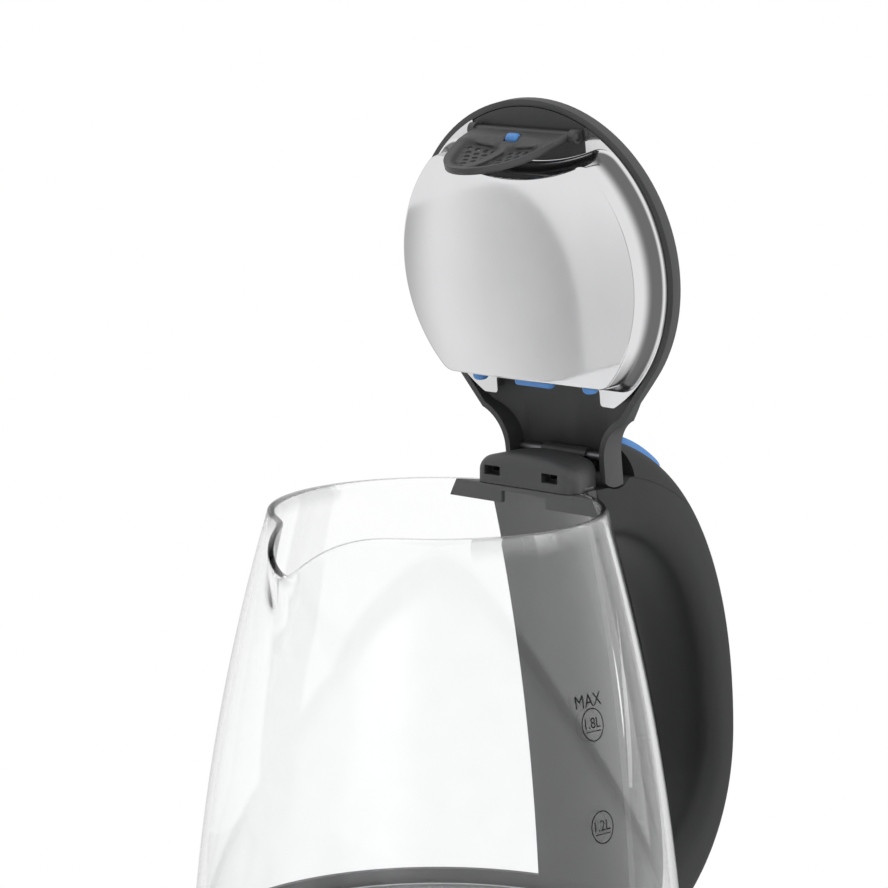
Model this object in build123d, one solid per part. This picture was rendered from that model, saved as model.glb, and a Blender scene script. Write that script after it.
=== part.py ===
from build123d import *
from math import cos, exp, pi, radians, sin, sqrt
import os

os.makedirs("parts", exist_ok=True)

# Cordless glass kettle on its power base, lid swung open. Z up, spout along -X, handle along +X.

# Glass jug: a long arc drawn in at the rim, with a pulled beak.
RIM_RADIUS = 57.7
RIM_HEIGHT = 218.0
GLASS_WALL = 2.6
GLASS_FOOT = 58.0
BELLY_ARC = 732.0
BELLY_HEIGHT = 12.85
BEAK_REACH = 18.0
BEAK_DIP = 12.8
BEAK_SPREAD = 0.271
BEAK_SLOT = 0.152
BEAK_DEPTH = 46.0

# Power base.
FOOT_HEIGHT = 1.5
FOOT_RADIUS = 72.0
FOOT_WIDTH = 6.0
BASE_RADIUS = 82.0
BASE_HEIGHT = 20.0
BASE_WALL = 2.2
BASE_ROUND = 4.4
PLATE_THICK = 2.0
BUSH_BORE = 3.5
BUSH_WALL = 2.0
BUSH_LENGTH = 9.0
BUSH_HEIGHT = 9.9
BUSH_FLANGE = 0.8

# Plug boss of the base and the socket of the kettle.
BOSS_RADIUS = 16.5
BOSS_RISE = 14.0
PIN_RADIUS = 3.0
RING_RADIUS = 9.0
RING_THICK = 1.4
CONTACT_GAP = 0.6
CONTACT_WALL = 0.5
SOCKET_WALL = 5.0
CONTROL_RADIUS = 26.0
CONTROL_HEIGHT = 9.0
BIMETAL_RADIUS = 8.0
BIMETAL_THICK = 0.6

# Lower housing and heater.
LIFT_GAP = 0.3
SKIRT_LAP = 8.0
SKIRT_WALL = 2.2
SKIRT_FLARE = 1.6
SKIRT_BOTTOM = 22.5
COVER_THICK = 2.0
SUPPORT_RADIUS = 63.0
SUPPORT_WIDTH = 5.0
SEAL_WALL = 1.4
SEAL_FLOOR = 2.0
SEAL_GAP = 0.2
FLOOR_RISE = 3.0
FLOOR_THICK = 1.2
SPREADER_RADIUS = 62.0
SPREADER_THICK = 3.2
ELEMENT_RADIUS = 48.0
ELEMENT_TUBE = 4.0
ELEMENT_SWEEP = 300.0
ELEMENT_TAIL = 9.0

# Handle: an elliptic bow about one pole, with sections that widen to both ends.
SPINE_HALF_WIDTH = 22.5
SPINE_THICK = 4.0
SPINE_GAP = 0.4
POLE_SETBACK = 12.3
POLE_X = RIM_RADIUS + POLE_SETBACK
POLE_HEIGHT = 112.6
GRIP_REACH = 82.9
GRIP_THICK = 21.3
HEAD_RISE = 15.6
HEAD_DEPTH = 36.0
HEEL_DROP = 77.0
HEEL_DEPTH = 34.0
GRIP_HALF_WIDTH = 17.5
END_HALF_WIDTH = 23.0
BOW_FIRST = 105
BOW_LAST = -95
BOW_STATIONS = 11
CROWN_FIRST = 100
CROWN_LAST = 15
CROWN_STATIONS = 6
OUTER_POWER = 2.4
INNER_POWER = 3.6
SEAM_START = (-16.0, 5.3)
SEAM_MIDDLE = (28.9, -4.7)
SEAM_END = (68.0, -33.5)

# Lid hinge.
HINGE_SETBACK = 11.3
HINGE_X = RIM_RADIUS + HINGE_SETBACK
HINGE_RISE = 10.0
OPEN_ANGLE = 83.0
PIVOT_RADIUS = 1.5
PIVOT_CLEARANCE = 0.06
KNUCKLE_RADIUS = 2.5
KNUCKLE_HALF_WIDTH = 10.0
KNUCKLE_GAP = 1.5
EAR_RADIUS = 10.0
EAR_CLEARANCE = 0.6
EAR_SKIN = 0.9
BLOCK_DEPTH = 23.0
BLOCK_FRONT = HINGE_X - BLOCK_DEPTH
BLOCK_HALF_WIDTH = 21.5
BLOCK_RISE = 12.0
BLOCK_ROUND = 5.5
BLOCK_CORNER = 3.5
BLOCK_CROWN = 70.0
SLOT_WIDTH = 7.0
SLOT_HEIGHT = 3.6
SLOT_DEPTH = 4.0
SLOT_SPACING = 26.0
INSERT_DEPTH = 24.0
INSERT_FRONT = HINGE_X - INSERT_DEPTH
INSERT_DROP = 6.2
INSERT_WALL = 2.0
INSERT_NOTCH = 20.0
INSERT_GAP = 0.4
LIP_THICK = 1.2

# Lid, drawn closed and then swung open.
LID_GAP = 3.0
LID_OVERHANG = 0.8
LID_RADIUS = RIM_RADIUS + LID_OVERHANG
LID_EDGE = 4.2
LID_CROWN = 15.0
LID_WALL = 2.2
NECK_HALF_WIDTH = 22.6
NECK_CROWN = 12.8
NECK_ARC = 84.0
SHOULDER_DEPTH = 15.0
SHOULDER_X = HINGE_X - SHOULDER_DEPTH
SHOULDER_HALF_WIDTH = 32.0
SHOULDER_LENGTH = 14.0
NECK_BACK = 3.0
LINER_THICK = 2.4
LINER_GAP = 0.3
COVER_SHEET = 0.7
FLANGE_INSET = 2.1
FLANGE_RADIUS = LID_RADIUS - FLANGE_INSET
CHORD_DEPTH = 27.2
FLANGE_CHORD = HINGE_X - CHORD_DEPTH
TAB_DEPTH = 21.0
TAB_REACH = HINGE_X - TAB_DEPTH
TAB_INNER = 23.5
ARM_INNER = 25.2
FLANGE_WIDTH = 2.7
DOME_RADIUS = FLANGE_RADIUS - FLANGE_WIDTH
DOME_DEPTH = 13.0
DOME_TAPER = 14.0
CHORD_STEP = 2.2
DOME_CHORD = FLANGE_CHORD - CHORD_STEP
DOME_HOLLOW = 85.0
END_DEPTH = 22.0
DOME_END = END_DEPTH - LID_RADIUS
DOME_CORNER = 5.0
DOME_ROUND = 3.4
PLUG_RADIUS = 2.8
PLUG_REACH = 4.0
PLUG_SPACING = 50.0
PAD_WIDTH = 17.0
PAD_HEIGHT = 4.0

# Strainer flap that hangs from the lid in front of the beak.
STRAINER_DEPTH = 11.0
STRAINER_X = STRAINER_DEPTH - LID_RADIUS
STRAINER_DROP = 3.0
STRAINER_LEAN = 10.7
STRAINER_WIDTH = 42.0
STRAINER_LENGTH = 36.0
STRAINER_THICK = 2.4
MESH_THICK = 0.9
RIM_WIDTH = 3.2
WEB_WIDTH = 3.6
WINDOW_TOP = 11.0
HOLE_RADIUS = 1.15
HOLE_PITCH = 3.5
TRUNNION_RADIUS = 1.6
TRUNNION_LENGTH = 2.6
POST_WALL = 0.8
PEG_RADIUS = 2.1
PEG_LENGTH = 5.4
PEG_ROUND = 1.5
PEG_DROP = 6.0

# Lid release and power switch.
BUTTON_SETBACK = 15.0
BUTTON_FRONT = HINGE_X + BUTTON_SETBACK
BUTTON_LENGTH = 33.0
BUTTON_HALF_WIDTH = 8.5
BUTTON_PROUD = 2.2
BUTTON_THICK = 3.2
BUTTON_TRAVEL = 2.5
SLIDE_CLEARANCE = 0.35
STEM_WIDTH = 8.0
STEM_LENGTH = 6.0
LATCH_HEIGHT = 4.0
LATCH_LENGTH = 10.5
NOSE_REACH = 1.5
SWITCH_SETBACK = 40.0
SWITCH_X = POLE_X + SWITCH_SETBACK
SWITCH_HEIGHT = 55.0
SWITCH_BARREL = 3.6
SWITCH_HALF_WIDTH = 9.0
SWITCH_LENGTH = 23.0
SWITCH_THICK = 3.4
SWITCH_ANGLE = -60.0
SWITCH_SWING = 14.0


def save(node, solid):
    """Write one piece of the kettle."""
    export_step(solid, f"parts/{node}.step")


def tube(inner, outer, low, high):
    """Upright ring or disc between two heights."""
    face = Circle(outer) - Circle(inner) if inner else Circle(outer)
    return Pos(0, 0, low) * extrude(face, high - low)


def side_slab(face, half_width):
    """A side view thickened equally to both sides."""
    return extrude(Plane.XZ * face, half_width, both=True)


def box_between(low, high):
    """Box from its low corner to its high corner."""
    size = Vector(*high) - Vector(*low)
    centre = (Vector(*high) + Vector(*low)) * 0.5
    return Pos(centre) * Box(size.X, size.Y, size.Z)


def cross_bar(x, z, radius, half_width):
    """Round bar along Y."""
    return Pos(x, 0, z) * Rot(90, 0, 0) * Cylinder(radius, 2 * half_width)


# Glass jug
def wall_radius(z):
    arc = sqrt(BELLY_ARC**2 - (z - BELLY_HEIGHT) ** 2)
    return RIM_RADIUS + arc - sqrt(BELLY_ARC**2 - (RIM_HEIGHT - BELLY_HEIGHT) ** 2)


def wall_solid(offset, low, high):
    """Everything inside the wall's arc, grown by an offset, between two heights."""
    arc = [(wall_radius(z) + offset, z) for z in (low, (low + high) / 2, high)]
    sides = Polyline(arc[2], (0, high), (0, low), arc[0])
    return revolve(Plane.XZ * make_face([ThreePointArc(*arc), *sides.edges()]), Axis.Z)


def jug_section(z, inset):
    """Outline of the glass at one height, with the beak fading in towards the rim."""
    rise = max(0.0, 1 - (RIM_HEIGHT - z) / BEAK_DEPTH)
    fade = rise * rise * (3 - 2 * rise)
    half = [0.07, 0.14, 0.22, 0.31, 0.42, 0.56, 0.75, 1.0, 1.3, 1.65, 2.0, 2.4, 2.8]
    points = []
    for turn in [-t for t in reversed(half)] + [0] + half + [pi]:
        bump = BEAK_REACH * exp(-(abs(turn / BEAK_SPREAD) ** 2.27))
        radius = wall_radius(z) - inset + fade * bump
        points.append((-radius * cos(turn), -radius * sin(turn), z))
    return make_face(Spline(*points, periodic=True))


def jug_solid(inset):
    """Everything inside the glass's face, from its foot to the rim."""
    beak_foot = RIM_HEIGHT - BEAK_DEPTH
    levels = [GLASS_FOOT + (beak_foot - GLASS_FOOT) * step / 8 for step in range(8)]
    levels += [beak_foot + BEAK_DEPTH * step / 6 for step in range(7)]
    return loft([jug_section(z, inset) for z in levels])


def beak_notch():
    """Cutter whose lower edge is the dip of the rim at the beak."""
    dip = []
    for step in range(-8, 9):
        turn = step * 0.055
        radius = RIM_RADIUS + BEAK_REACH * exp(-(abs(turn / BEAK_SPREAD) ** 2.27))
        drop = BEAK_DIP * exp(-(abs(turn / BEAK_SLOT) ** 1.71))
        dip.append((radius * sin(turn), RIM_HEIGHT + 0.2 - drop))
    top = RIM_HEIGHT + BEAK_DIP
    frame = Polyline(dip[-1], (dip[-1][0], top), (dip[0][0], top), dip[0])
    face = make_face([Spline(*dip), *frame.edges()])
    return Pos(-0.6 * RIM_RADIUS, 0, 0) * extrude(Plane.YZ * face, -(RIM_RADIUS + BEAK_REACH))


glass = jug_solid(0) - jug_solid(GLASS_WALL) - beak_notch()
save("glass_jug", glass)

# Power base
foot_top = FOOT_HEIGHT
save("base_foot_ring", tube(FOOT_RADIUS - FOOT_WIDTH, FOOT_RADIUS, 0, foot_top))

base_block = tube(0, BASE_RADIUS, foot_top, BASE_HEIGHT)
base_block = fillet(base_block.edges().group_by(Axis.Z)[-1], BASE_ROUND)
base_core = tube(0, BASE_RADIUS - BASE_WALL, foot_top, BASE_HEIGHT - BASE_WALL)
base_core = chamfer(base_core.edges().group_by(Axis.Z)[-1], BASE_ROUND - BASE_WALL)
boss_top = BASE_HEIGHT + BOSS_RISE
boss_flange = BOSS_RADIUS + BASE_WALL
bush_radius = BUSH_BORE + BUSH_WALL
bush_axis = Pos(BASE_RADIUS - BASE_WALL / 2, 0, BUSH_HEIGHT) * Rot(0, 90, 0)
base_cover = base_block - base_core - tube(0, BOSS_RADIUS, foot_top, BASE_HEIGHT)
base_cover -= bush_axis * Cylinder(bush_radius, 4 * BASE_WALL)
save("base_cover", base_cover)
save("base_plate", tube(0, BASE_RADIUS - BASE_WALL, foot_top, foot_top + PLATE_THICK))

bush = Cylinder(bush_radius, BUSH_LENGTH) - Cylinder(BUSH_BORE, BUSH_LENGTH)
collar = Cylinder(bush_radius + BUSH_FLANGE, BUSH_WALL) - Cylinder(BUSH_BORE, BUSH_WALL)
save("cord_bushing", bush_axis * (bush + Pos(0, 0, -BASE_WALL / 2 - BUSH_WALL) * collar))

pin_bore = PIN_RADIUS + CONTACT_GAP + CONTACT_WALL
groove_in = RING_RADIUS - RING_THICK / 2 - CONTACT_GAP
groove_out = RING_RADIUS + RING_THICK / 2 + CONTACT_GAP + CONTACT_WALL
contact_floor = BASE_HEIGHT + CONTACT_GAP
boss = tube(0, BOSS_RADIUS, foot_top + PLATE_THICK, boss_top)
boss = chamfer(boss.edges().group_by(Axis.Z)[-1], 2 * CONTACT_GAP)
boss += tube(0, boss_flange, foot_top + PLATE_THICK, BASE_HEIGHT - BASE_WALL)
boss -= tube(0, pin_bore, contact_floor, boss_top)
boss -= tube(groove_in, groove_out, contact_floor, boss_top)
save("base_connector", boss)
contact_top = boss_top - 2 * CONTACT_GAP
save("base_contact_sleeve", tube(pin_bore - CONTACT_WALL, pin_bore, contact_floor, contact_top))
save("base_contact_ring", tube(groove_out - CONTACT_WALL, groove_out, contact_floor, contact_top))

# Lower housing
skirt_top = GLASS_FOOT + SKIRT_LAP
foot_radius = wall_radius(GLASS_FOOT)
skirt_inner = foot_radius + SEAL_WALL + 0.2
skirt_outer = skirt_inner + SKIRT_WALL
lip_inner = wall_radius(skirt_top) + 0.4
skirt_side = Polyline(
    (skirt_inner, SKIRT_BOTTOM),
    (skirt_outer, SKIRT_BOTTOM),
    (skirt_outer + SKIRT_FLARE, SKIRT_BOTTOM + 3),
    (skirt_outer, GLASS_FOOT),
    (lip_inner + SKIRT_WALL, skirt_top),
    (lip_inner, skirt_top),
    (skirt_inner, GLASS_FOOT + 2),
    close=True,
)
save("skirt", revolve(Plane.XZ * make_face(skirt_side), Axis.Z))

socket_inner = BOSS_RADIUS + CONTACT_GAP
socket_outer = socket_inner + SOCKET_WALL
support_low = BASE_HEIGHT + LIFT_GAP
cover_low = SKIRT_BOTTOM
bottom_cover = tube(socket_outer + 0.2, skirt_inner - 0.1, cover_low, cover_low + COVER_THICK)
bottom_cover += tube(SUPPORT_RADIUS - SUPPORT_WIDTH, SUPPORT_RADIUS, support_low, cover_low)
save("bottom_cover", bottom_cover)

# Seal, floor and heater
channel_in = wall_radius(GLASS_FOOT + FLOOR_RISE) - GLASS_WALL - SEAL_GAP
channel_out = foot_radius + SEAL_GAP
seal_low = GLASS_FOOT - SEAL_FLOOR
floor_top = GLASS_FOOT + FLOOR_RISE
seal = tube(channel_in - SEAL_WALL, channel_out + SEAL_WALL, seal_low, GLASS_FOOT)
seal += tube(channel_in - SEAL_WALL, channel_in, GLASS_FOOT, floor_top)
save("glass_seal", seal)
floor_low = floor_top - FLOOR_THICK
floor_radius = channel_in - SEAL_WALL - 0.1
floor_plate = tube(0, floor_radius, floor_low, floor_top)
floor_plate += tube(floor_radius - FLOOR_THICK, floor_radius, seal_low, floor_low)
save("heating_plate", floor_plate)
spreader_low = floor_low - SPREADER_THICK
save("heat_spreader", tube(0, SPREADER_RADIUS, spreader_low, floor_low))

element_height = spreader_low - ELEMENT_TUBE
element_path = CenterArc((0, 0, element_height), ELEMENT_RADIUS, -ELEMENT_SWEEP / 2, ELEMENT_SWEEP)
element_start = Plane(element_path @ 0, z_dir=element_path % 0)
element = sweep(element_start * RegularPolygon(ELEMENT_TUBE, 8, rotation=22.5), element_path)
for end in (element_path @ 0, element_path @ 1):
    tail = Pos(end.X, end.Y, spreader_low - ELEMENT_TAIL / 2)
    element += tail * Cylinder(ELEMENT_TUBE, ELEMENT_TAIL)
save("heating_element", element)

# Control unit with its socket
socket_top = boss_top + 2 * CONTACT_GAP
control_top = socket_top + CONTROL_HEIGHT
control = tube(socket_inner, socket_outer, cover_low, socket_top)
control += tube(0, CONTROL_RADIUS, socket_top, control_top)
bridge = tube(0, CONTROL_RADIUS, control_top, spreader_low)
bridge -= tube(0, CONTROL_RADIUS - SOCKET_WALL, control_top, spreader_low)
control += bridge & Box(2 * CONTROL_RADIUS, SOCKET_WALL * 2, 4 * spreader_low)
save("control_unit", control)
contact_low = contact_floor + 2 * CONTACT_GAP
save("kettle_pin", tube(0, PIN_RADIUS, contact_low, socket_top))
ring_in = RING_RADIUS - RING_THICK / 2
ring_out = RING_RADIUS + RING_THICK / 2
save("kettle_ring", tube(ring_in, ring_out, contact_low, socket_top))
save("bimetal_disc", tube(0, BIMETAL_RADIUS, control_top, control_top + BIMETAL_THICK))

# Handle spine, a strip that follows the glass
spine_top = RIM_HEIGHT + INSERT_GAP
spine = wall_solid(SPINE_GAP + SPINE_THICK, skirt_top, spine_top)
spine -= wall_solid(SPINE_GAP, skirt_top, spine_top)
spine_window = box_between((0, -SPINE_HALF_WIDTH, skirt_top), (BELLY_ARC, SPINE_HALF_WIDTH, spine_top))
save("handle_spine", spine & spine_window)

# Handle bow
hinge_z = RIM_HEIGHT + HINGE_RISE
head_rise = RIM_HEIGHT + HEAD_RISE - POLE_HEIGHT


def bow_section(angle, grow):
    """Closed section across the bow where it stands at one angle about the pole."""
    a = radians(angle)
    outer_up = head_rise if a > 0 else HEEL_DROP
    inner_up = head_rise - HEAD_DEPTH if a > 0 else HEEL_DROP - HEEL_DEPTH
    outer = Vector(POLE_X + GRIP_REACH * cos(a), 0, POLE_HEIGHT + outer_up * sin(a))
    inner_reach = GRIP_REACH - GRIP_THICK
    inner = Vector(POLE_X + inner_reach * cos(a), 0, POLE_HEIGHT + inner_up * sin(a))
    across = (outer - inner).normalized()
    half_thick = (outer - inner).length / 2 + grow
    half_wide = GRIP_HALF_WIDTH + (END_HALF_WIDTH - GRIP_HALF_WIDTH) * sin(a) ** 2 + grow
    points = []
    for step in range(16):
        t = 2 * pi * step / 16
        power = OUTER_POWER if cos(t) >= 0 else INNER_POWER
        u = abs(cos(t)) ** (2 / power) * (1 if cos(t) >= 0 else -1)
        v = abs(sin(t)) ** (2 / power) * (1 if sin(t) >= 0 else -1)
        points.append((outer + inner) * 0.5 + across * (half_thick * u) + Vector(0, half_wide * v, 0))
    return make_face(Spline(*points, periodic=True))


def bow(first, last, stations, grow=0.0):
    angles = [first + (last - first) * i / (stations - 1) for i in range(stations)]
    return loft([bow_section(angle, grow) for angle in angles])


def crown_bow(grow):
    return bow(CROWN_FIRST, CROWN_LAST, CROWN_STATIONS, grow)


handle = bow(BOW_FIRST, BOW_LAST, BOW_STATIONS)
core = wall_solid(SPINE_GAP + SPINE_THICK + 0.1, skirt_top, RIM_HEIGHT + HEAD_RISE)
core += tube(0, skirt_outer + SKIRT_FLARE + 0.3, 0, skirt_top)
handle -= core
ear_room = EAR_RADIUS + EAR_CLEARANCE
lid_low = RIM_HEIGHT + LID_GAP
neck_back = HINGE_X + ear_room
half_all = 2 * END_HALF_WIDTH
handle -= box_between((0, -half_all, lid_low - EAR_CLEARANCE), (neck_back, half_all, 2 * RIM_HEIGHT))
handle -= cross_bar(HINGE_X, hinge_z, ear_room, half_all)
lip_low = RIM_HEIGHT + INSERT_GAP
lip_top = lip_low + LIP_THICK
handle -= box_between((0, -half_all, lip_low - 0.1), (HINGE_X - KNUCKLE_RADIUS, half_all, 2 * RIM_HEIGHT))

# Curved seam between the handle's body and its top cover
seam_points = [(POLE_X + x, RIM_HEIGHT + z) for x, z in (SEAM_START, SEAM_MIDDLE, SEAM_END)]
far = POLE_X + 3 * GRIP_REACH
above = Polyline(
    seam_points[2],
    (far, seam_points[2][1]),
    (far, 2 * RIM_HEIGHT),
    (0, 2 * RIM_HEIGHT),
    (0, seam_points[0][1]),
    seam_points[0],
)
seam_cut = side_slab(make_face([ThreePointArc(*seam_points), *above.edges()]), half_all)

# Lid release: a cap on the handle's crown, a stem and a latch with a slanted lug
button_plan = Pos(BUTTON_FRONT + BUTTON_LENGTH / 2, 0) * SlotOverall(BUTTON_LENGTH, 2 * BUTTON_HALF_WIDTH)
button_seat = BUTTON_PROUD - BUTTON_THICK
button_room = offset(button_plan, SLIDE_CLEARANCE)
button = extrude(button_plan, 2 * RIM_HEIGHT) & crown_bow(BUTTON_PROUD)
button = (button - crown_bow(button_seat)) & seam_cut
pocket = extrude(button_room, 2 * RIM_HEIGHT) - crown_bow(button_seat - BUTTON_TRAVEL - SLIDE_CLEARANCE)
handle -= pocket & seam_cut

latch_low = RIM_HEIGHT - 6.6
latch_top = latch_low + LATCH_HEIGHT
nose_top = hinge_z - 2
nose_low = nose_top - LATCH_HEIGHT
half_latch = STEM_WIDTH / 2 + 1
half_room = half_latch + SLIDE_CLEARANCE
stem_front = BUTTON_FRONT + LATCH_LENGTH - STEM_LENGTH
stem_back = stem_front + STEM_LENGTH
stem_low = latch_top + BUTTON_TRAVEL + SLIDE_CLEARANCE
lug_back = stem_back + LATCH_HEIGHT
lug_top = stem_low + LATCH_HEIGHT / 2
room_low = latch_low - SLIDE_CLEARANCE
room_back = lug_back + BUTTON_TRAVEL + SLIDE_CLEARANCE
riser_front = neck_back + SLIDE_CLEARANCE
riser_back = riser_front + LATCH_HEIGHT
riser_room = riser_back + BUTTON_TRAVEL + SLIDE_CLEARANCE
bar_front = (neck_back - 1, -half_room, room_low)
lug_front = (stem_front - SLIDE_CLEARANCE, -half_room, room_low)
handle -= box_between(bar_front, (room_back, half_room, latch_top + SLIDE_CLEARANCE))
handle -= box_between(bar_front, (riser_room, half_room, nose_top + SLIDE_CLEARANCE))
handle -= box_between(lug_front, (room_back, half_room, lug_top + SLIDE_CLEARANCE))
handle -= box_between(lug_front, (stem_back + SLIDE_CLEARANCE, half_room, 2 * RIM_HEIGHT))

stem_side = Polyline(
    (stem_front, stem_low),
    (stem_back - LATCH_HEIGHT / 2, stem_low),
    (stem_back, stem_low + LATCH_HEIGHT / 2),
    (stem_back, 2 * RIM_HEIGHT),
    (stem_front, 2 * RIM_HEIGHT),
    close=True,
)
stem = side_slab(make_face(stem_side), STEM_WIDTH / 2) & crown_bow(button_seat + BUTTON_THICK / 2)
save("release_button", button + stem)

bar_side = Polyline(
    (neck_back - NOSE_REACH, nose_low),
    (neck_back - NOSE_REACH, nose_top),
    (riser_back, nose_top),
    (riser_back, latch_top),
    (stem_back - LATCH_HEIGHT / 2 + SLIDE_CLEARANCE * 1.4, latch_top),
    (stem_back - LATCH_HEIGHT / 2 + SLIDE_CLEARANCE * 1.4, stem_low),
    (stem_back + SLIDE_CLEARANCE * 1.4, lug_top),
    (lug_back, lug_top),
    (lug_back, latch_low),
    (riser_front, latch_low),
    (riser_front, nose_low),
    close=True,
)
save("latch_slide", side_slab(make_face(bar_side), half_latch))

# Power switch in the heel
switch_pivot = Plane((SWITCH_X, 0, SWITCH_HEIGHT), x_dir=(1, 0, 0), z_dir=(0, -1, 0))


def paddle(turn, length, thick, half_width):
    """Flat blade that leaves the switch's pivot at one angle."""
    blade = Rot(0, 0, turn) * Pos(length / 2, 0) * Rectangle(length, thick)
    return extrude(switch_pivot * blade, half_width, both=True)


switch = cross_bar(SWITCH_X, SWITCH_HEIGHT, SWITCH_BARREL, SWITCH_HALF_WIDTH)
switch += paddle(SWITCH_ANGLE, SWITCH_LENGTH, SWITCH_THICK, SWITCH_HALF_WIDTH)
switch -= cross_bar(SWITCH_X, SWITCH_HEIGHT, PIVOT_RADIUS + PIVOT_CLEARANCE, SWITCH_HALF_WIDTH)
save("power_switch", switch)
switch_room = SWITCH_HALF_WIDTH + SLIDE_CLEARANCE
handle -= cross_bar(SWITCH_X, SWITCH_HEIGHT, SWITCH_BARREL + SLIDE_CLEARANCE, switch_room)
for turn in (0, SWITCH_SWING / 2, SWITCH_SWING):
    handle -= paddle(SWITCH_ANGLE + turn, 2 * SWITCH_LENGTH, SWITCH_THICK + 4 * SLIDE_CLEARANCE, switch_room)
handle -= cross_bar(SWITCH_X, SWITCH_HEIGHT, PIVOT_RADIUS, switch_room + BUSH_WALL)
save("switch_pin", cross_bar(SWITCH_X, SWITCH_HEIGHT, PIVOT_RADIUS, switch_room + BUSH_WALL))

save("handle_top", handle & seam_cut)
save("handle_body", handle - seam_cut)

# Mouth insert, which hooks over the rim at the handle
mouth_radius = RIM_RADIUS - GLASS_WALL - INSERT_GAP
behind_front = box_between((INSERT_FRONT, -RIM_RADIUS, 0), (2 * RIM_RADIUS, RIM_RADIUS, 2 * RIM_HEIGHT))
insert_low = RIM_HEIGHT - INSERT_DROP
insert = wall_solid(-GLASS_WALL - INSERT_GAP, insert_low, RIM_HEIGHT) & behind_front
ceiling = RIM_HEIGHT - INSERT_WALL
insert -= box_between((INSERT_FRONT + INSERT_WALL, -RIM_RADIUS, 0), (2 * RIM_RADIUS, RIM_RADIUS, ceiling))
insert -= box_between((0, -INSERT_NOTCH / 2, 0), (2 * RIM_RADIUS, INSERT_NOTCH / 2, ceiling))
platform_width = BLOCK_HALF_WIDTH - 0.5
platform = box_between((BLOCK_FRONT, -platform_width, RIM_HEIGHT), (2 * RIM_RADIUS, platform_width, lip_top))
insert += tube(0, mouth_radius, RIM_HEIGHT, lip_top) & platform
lip_radius = RIM_RADIUS + SPINE_GAP + SPINE_THICK
insert += tube(0, lip_radius, lip_low, lip_top) & platform
save("mouth_insert", insert)

# Hinge block with its steam slots
block_top = RIM_HEIGHT + BLOCK_RISE
block_back = HINGE_X - KNUCKLE_RADIUS - KNUCKLE_GAP
front_edge = Polyline(
    (BLOCK_FRONT + BLOCK_ROUND, block_top),
    (block_back, block_top),
    (block_back, lip_top),
    (BLOCK_FRONT, lip_top),
    (BLOCK_FRONT, block_top - BLOCK_ROUND),
)
front_start = (BLOCK_FRONT, block_top - BLOCK_ROUND)
front_round = RadiusArc(front_start, (BLOCK_FRONT + BLOCK_ROUND, block_top), BLOCK_ROUND)
block = side_slab(make_face([*front_edge.edges(), front_round]), BLOCK_HALF_WIDTH)
crown_bar = Rot(0, 90, 0) * Cylinder(BLOCK_CROWN, 4 * RIM_RADIUS)
block &= Pos(0, 0, block_top - BLOCK_CROWN) * crown_bar
block_plan = Pos((BLOCK_FRONT + neck_back) / 2, 0) * Rectangle(neck_back - BLOCK_FRONT, 2 * BLOCK_HALF_WIDTH)
block &= extrude(fillet(block_plan.vertices().group_by(Axis.X)[0], BLOCK_CORNER), 2 * RIM_HEIGHT)
ear_inner = NECK_HALF_WIDTH - LID_WALL
ear_front = HINGE_X - ear_room
block_waist = ear_inner - EAR_CLEARANCE
for sign in (-1, 1):
    side = Pos(ear_front + ear_room, sign * (block_waist + BLOCK_HALF_WIDTH), RIM_HEIGHT)
    block -= side * Box(2 * ear_room, 2 * BLOCK_HALF_WIDTH, RIM_HEIGHT)
knuckle_half = KNUCKLE_HALF_WIDTH
arm = box_between((block_back - 1, -knuckle_half, hinge_z - KNUCKLE_RADIUS), (HINGE_X, knuckle_half, hinge_z))
block += arm + cross_bar(HINGE_X, hinge_z, KNUCKLE_RADIUS, knuckle_half)
block -= cross_bar(HINGE_X, hinge_z, PIVOT_RADIUS + PIVOT_CLEARANCE, knuckle_half)
slot_height = lip_top + SLOT_HEIGHT
for sign in (-1, 1):
    slot = Pos(BLOCK_FRONT, sign * SLOT_SPACING / 2, slot_height)
    block -= slot * Box(2 * SLOT_DEPTH, SLOT_WIDTH, SLOT_HEIGHT)
save("hinge_block", block)
pivot_half = NECK_HALF_WIDTH - EAR_SKIN
save("hinge_pin", cross_bar(HINGE_X, hinge_z, PIVOT_RADIUS, pivot_half))


def swing(solid):
    """Turn a piece of the closed lid to its open stop."""
    return solid.rotate(Axis((HINGE_X, 0, hinge_z), (0, 1, 0)), OPEN_ANGLE)


# Lid shell: a low dome that runs into a crowned neck with two ears
neck_end = HINGE_X + EAR_RADIUS
waist_x = SHOULDER_X + SHOULDER_LENGTH
step_in = SHOULDER_HALF_WIDTH - NECK_HALF_WIDTH
waist_radius = (SHOULDER_LENGTH**2 + step_in**2) / (2 * step_in)
half_plan = [
    Line((0, 0), (0, LID_RADIUS)),
    Line((0, LID_RADIUS), (SHOULDER_X, LID_RADIUS)),
    Line((SHOULDER_X, LID_RADIUS), (SHOULDER_X, SHOULDER_HALF_WIDTH)),
    RadiusArc((SHOULDER_X, SHOULDER_HALF_WIDTH), (waist_x, NECK_HALF_WIDTH), -waist_radius),
    Line((waist_x, NECK_HALF_WIDTH), (neck_end, NECK_HALF_WIDTH)),
    Line((neck_end, NECK_HALF_WIDTH), (neck_end, 0)),
    Line((neck_end, 0), (0, 0)),
]
shoulder_line = Line((SHOULDER_X, -SHOULDER_HALF_WIDTH), (SHOULDER_X, SHOULDER_HALF_WIDTH))
round_plan = make_hull([*Circle(LID_RADIUS).edges(), shoulder_line])
behind_plan = Pos(SHOULDER_X + neck_end / 2, 0) * Rectangle(neck_end, 4 * LID_RADIUS)
half_neck = make_face(half_plan) & behind_plan
lid_plan = round_plan + half_neck + mirror(half_neck, Plane.XZ)


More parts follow.
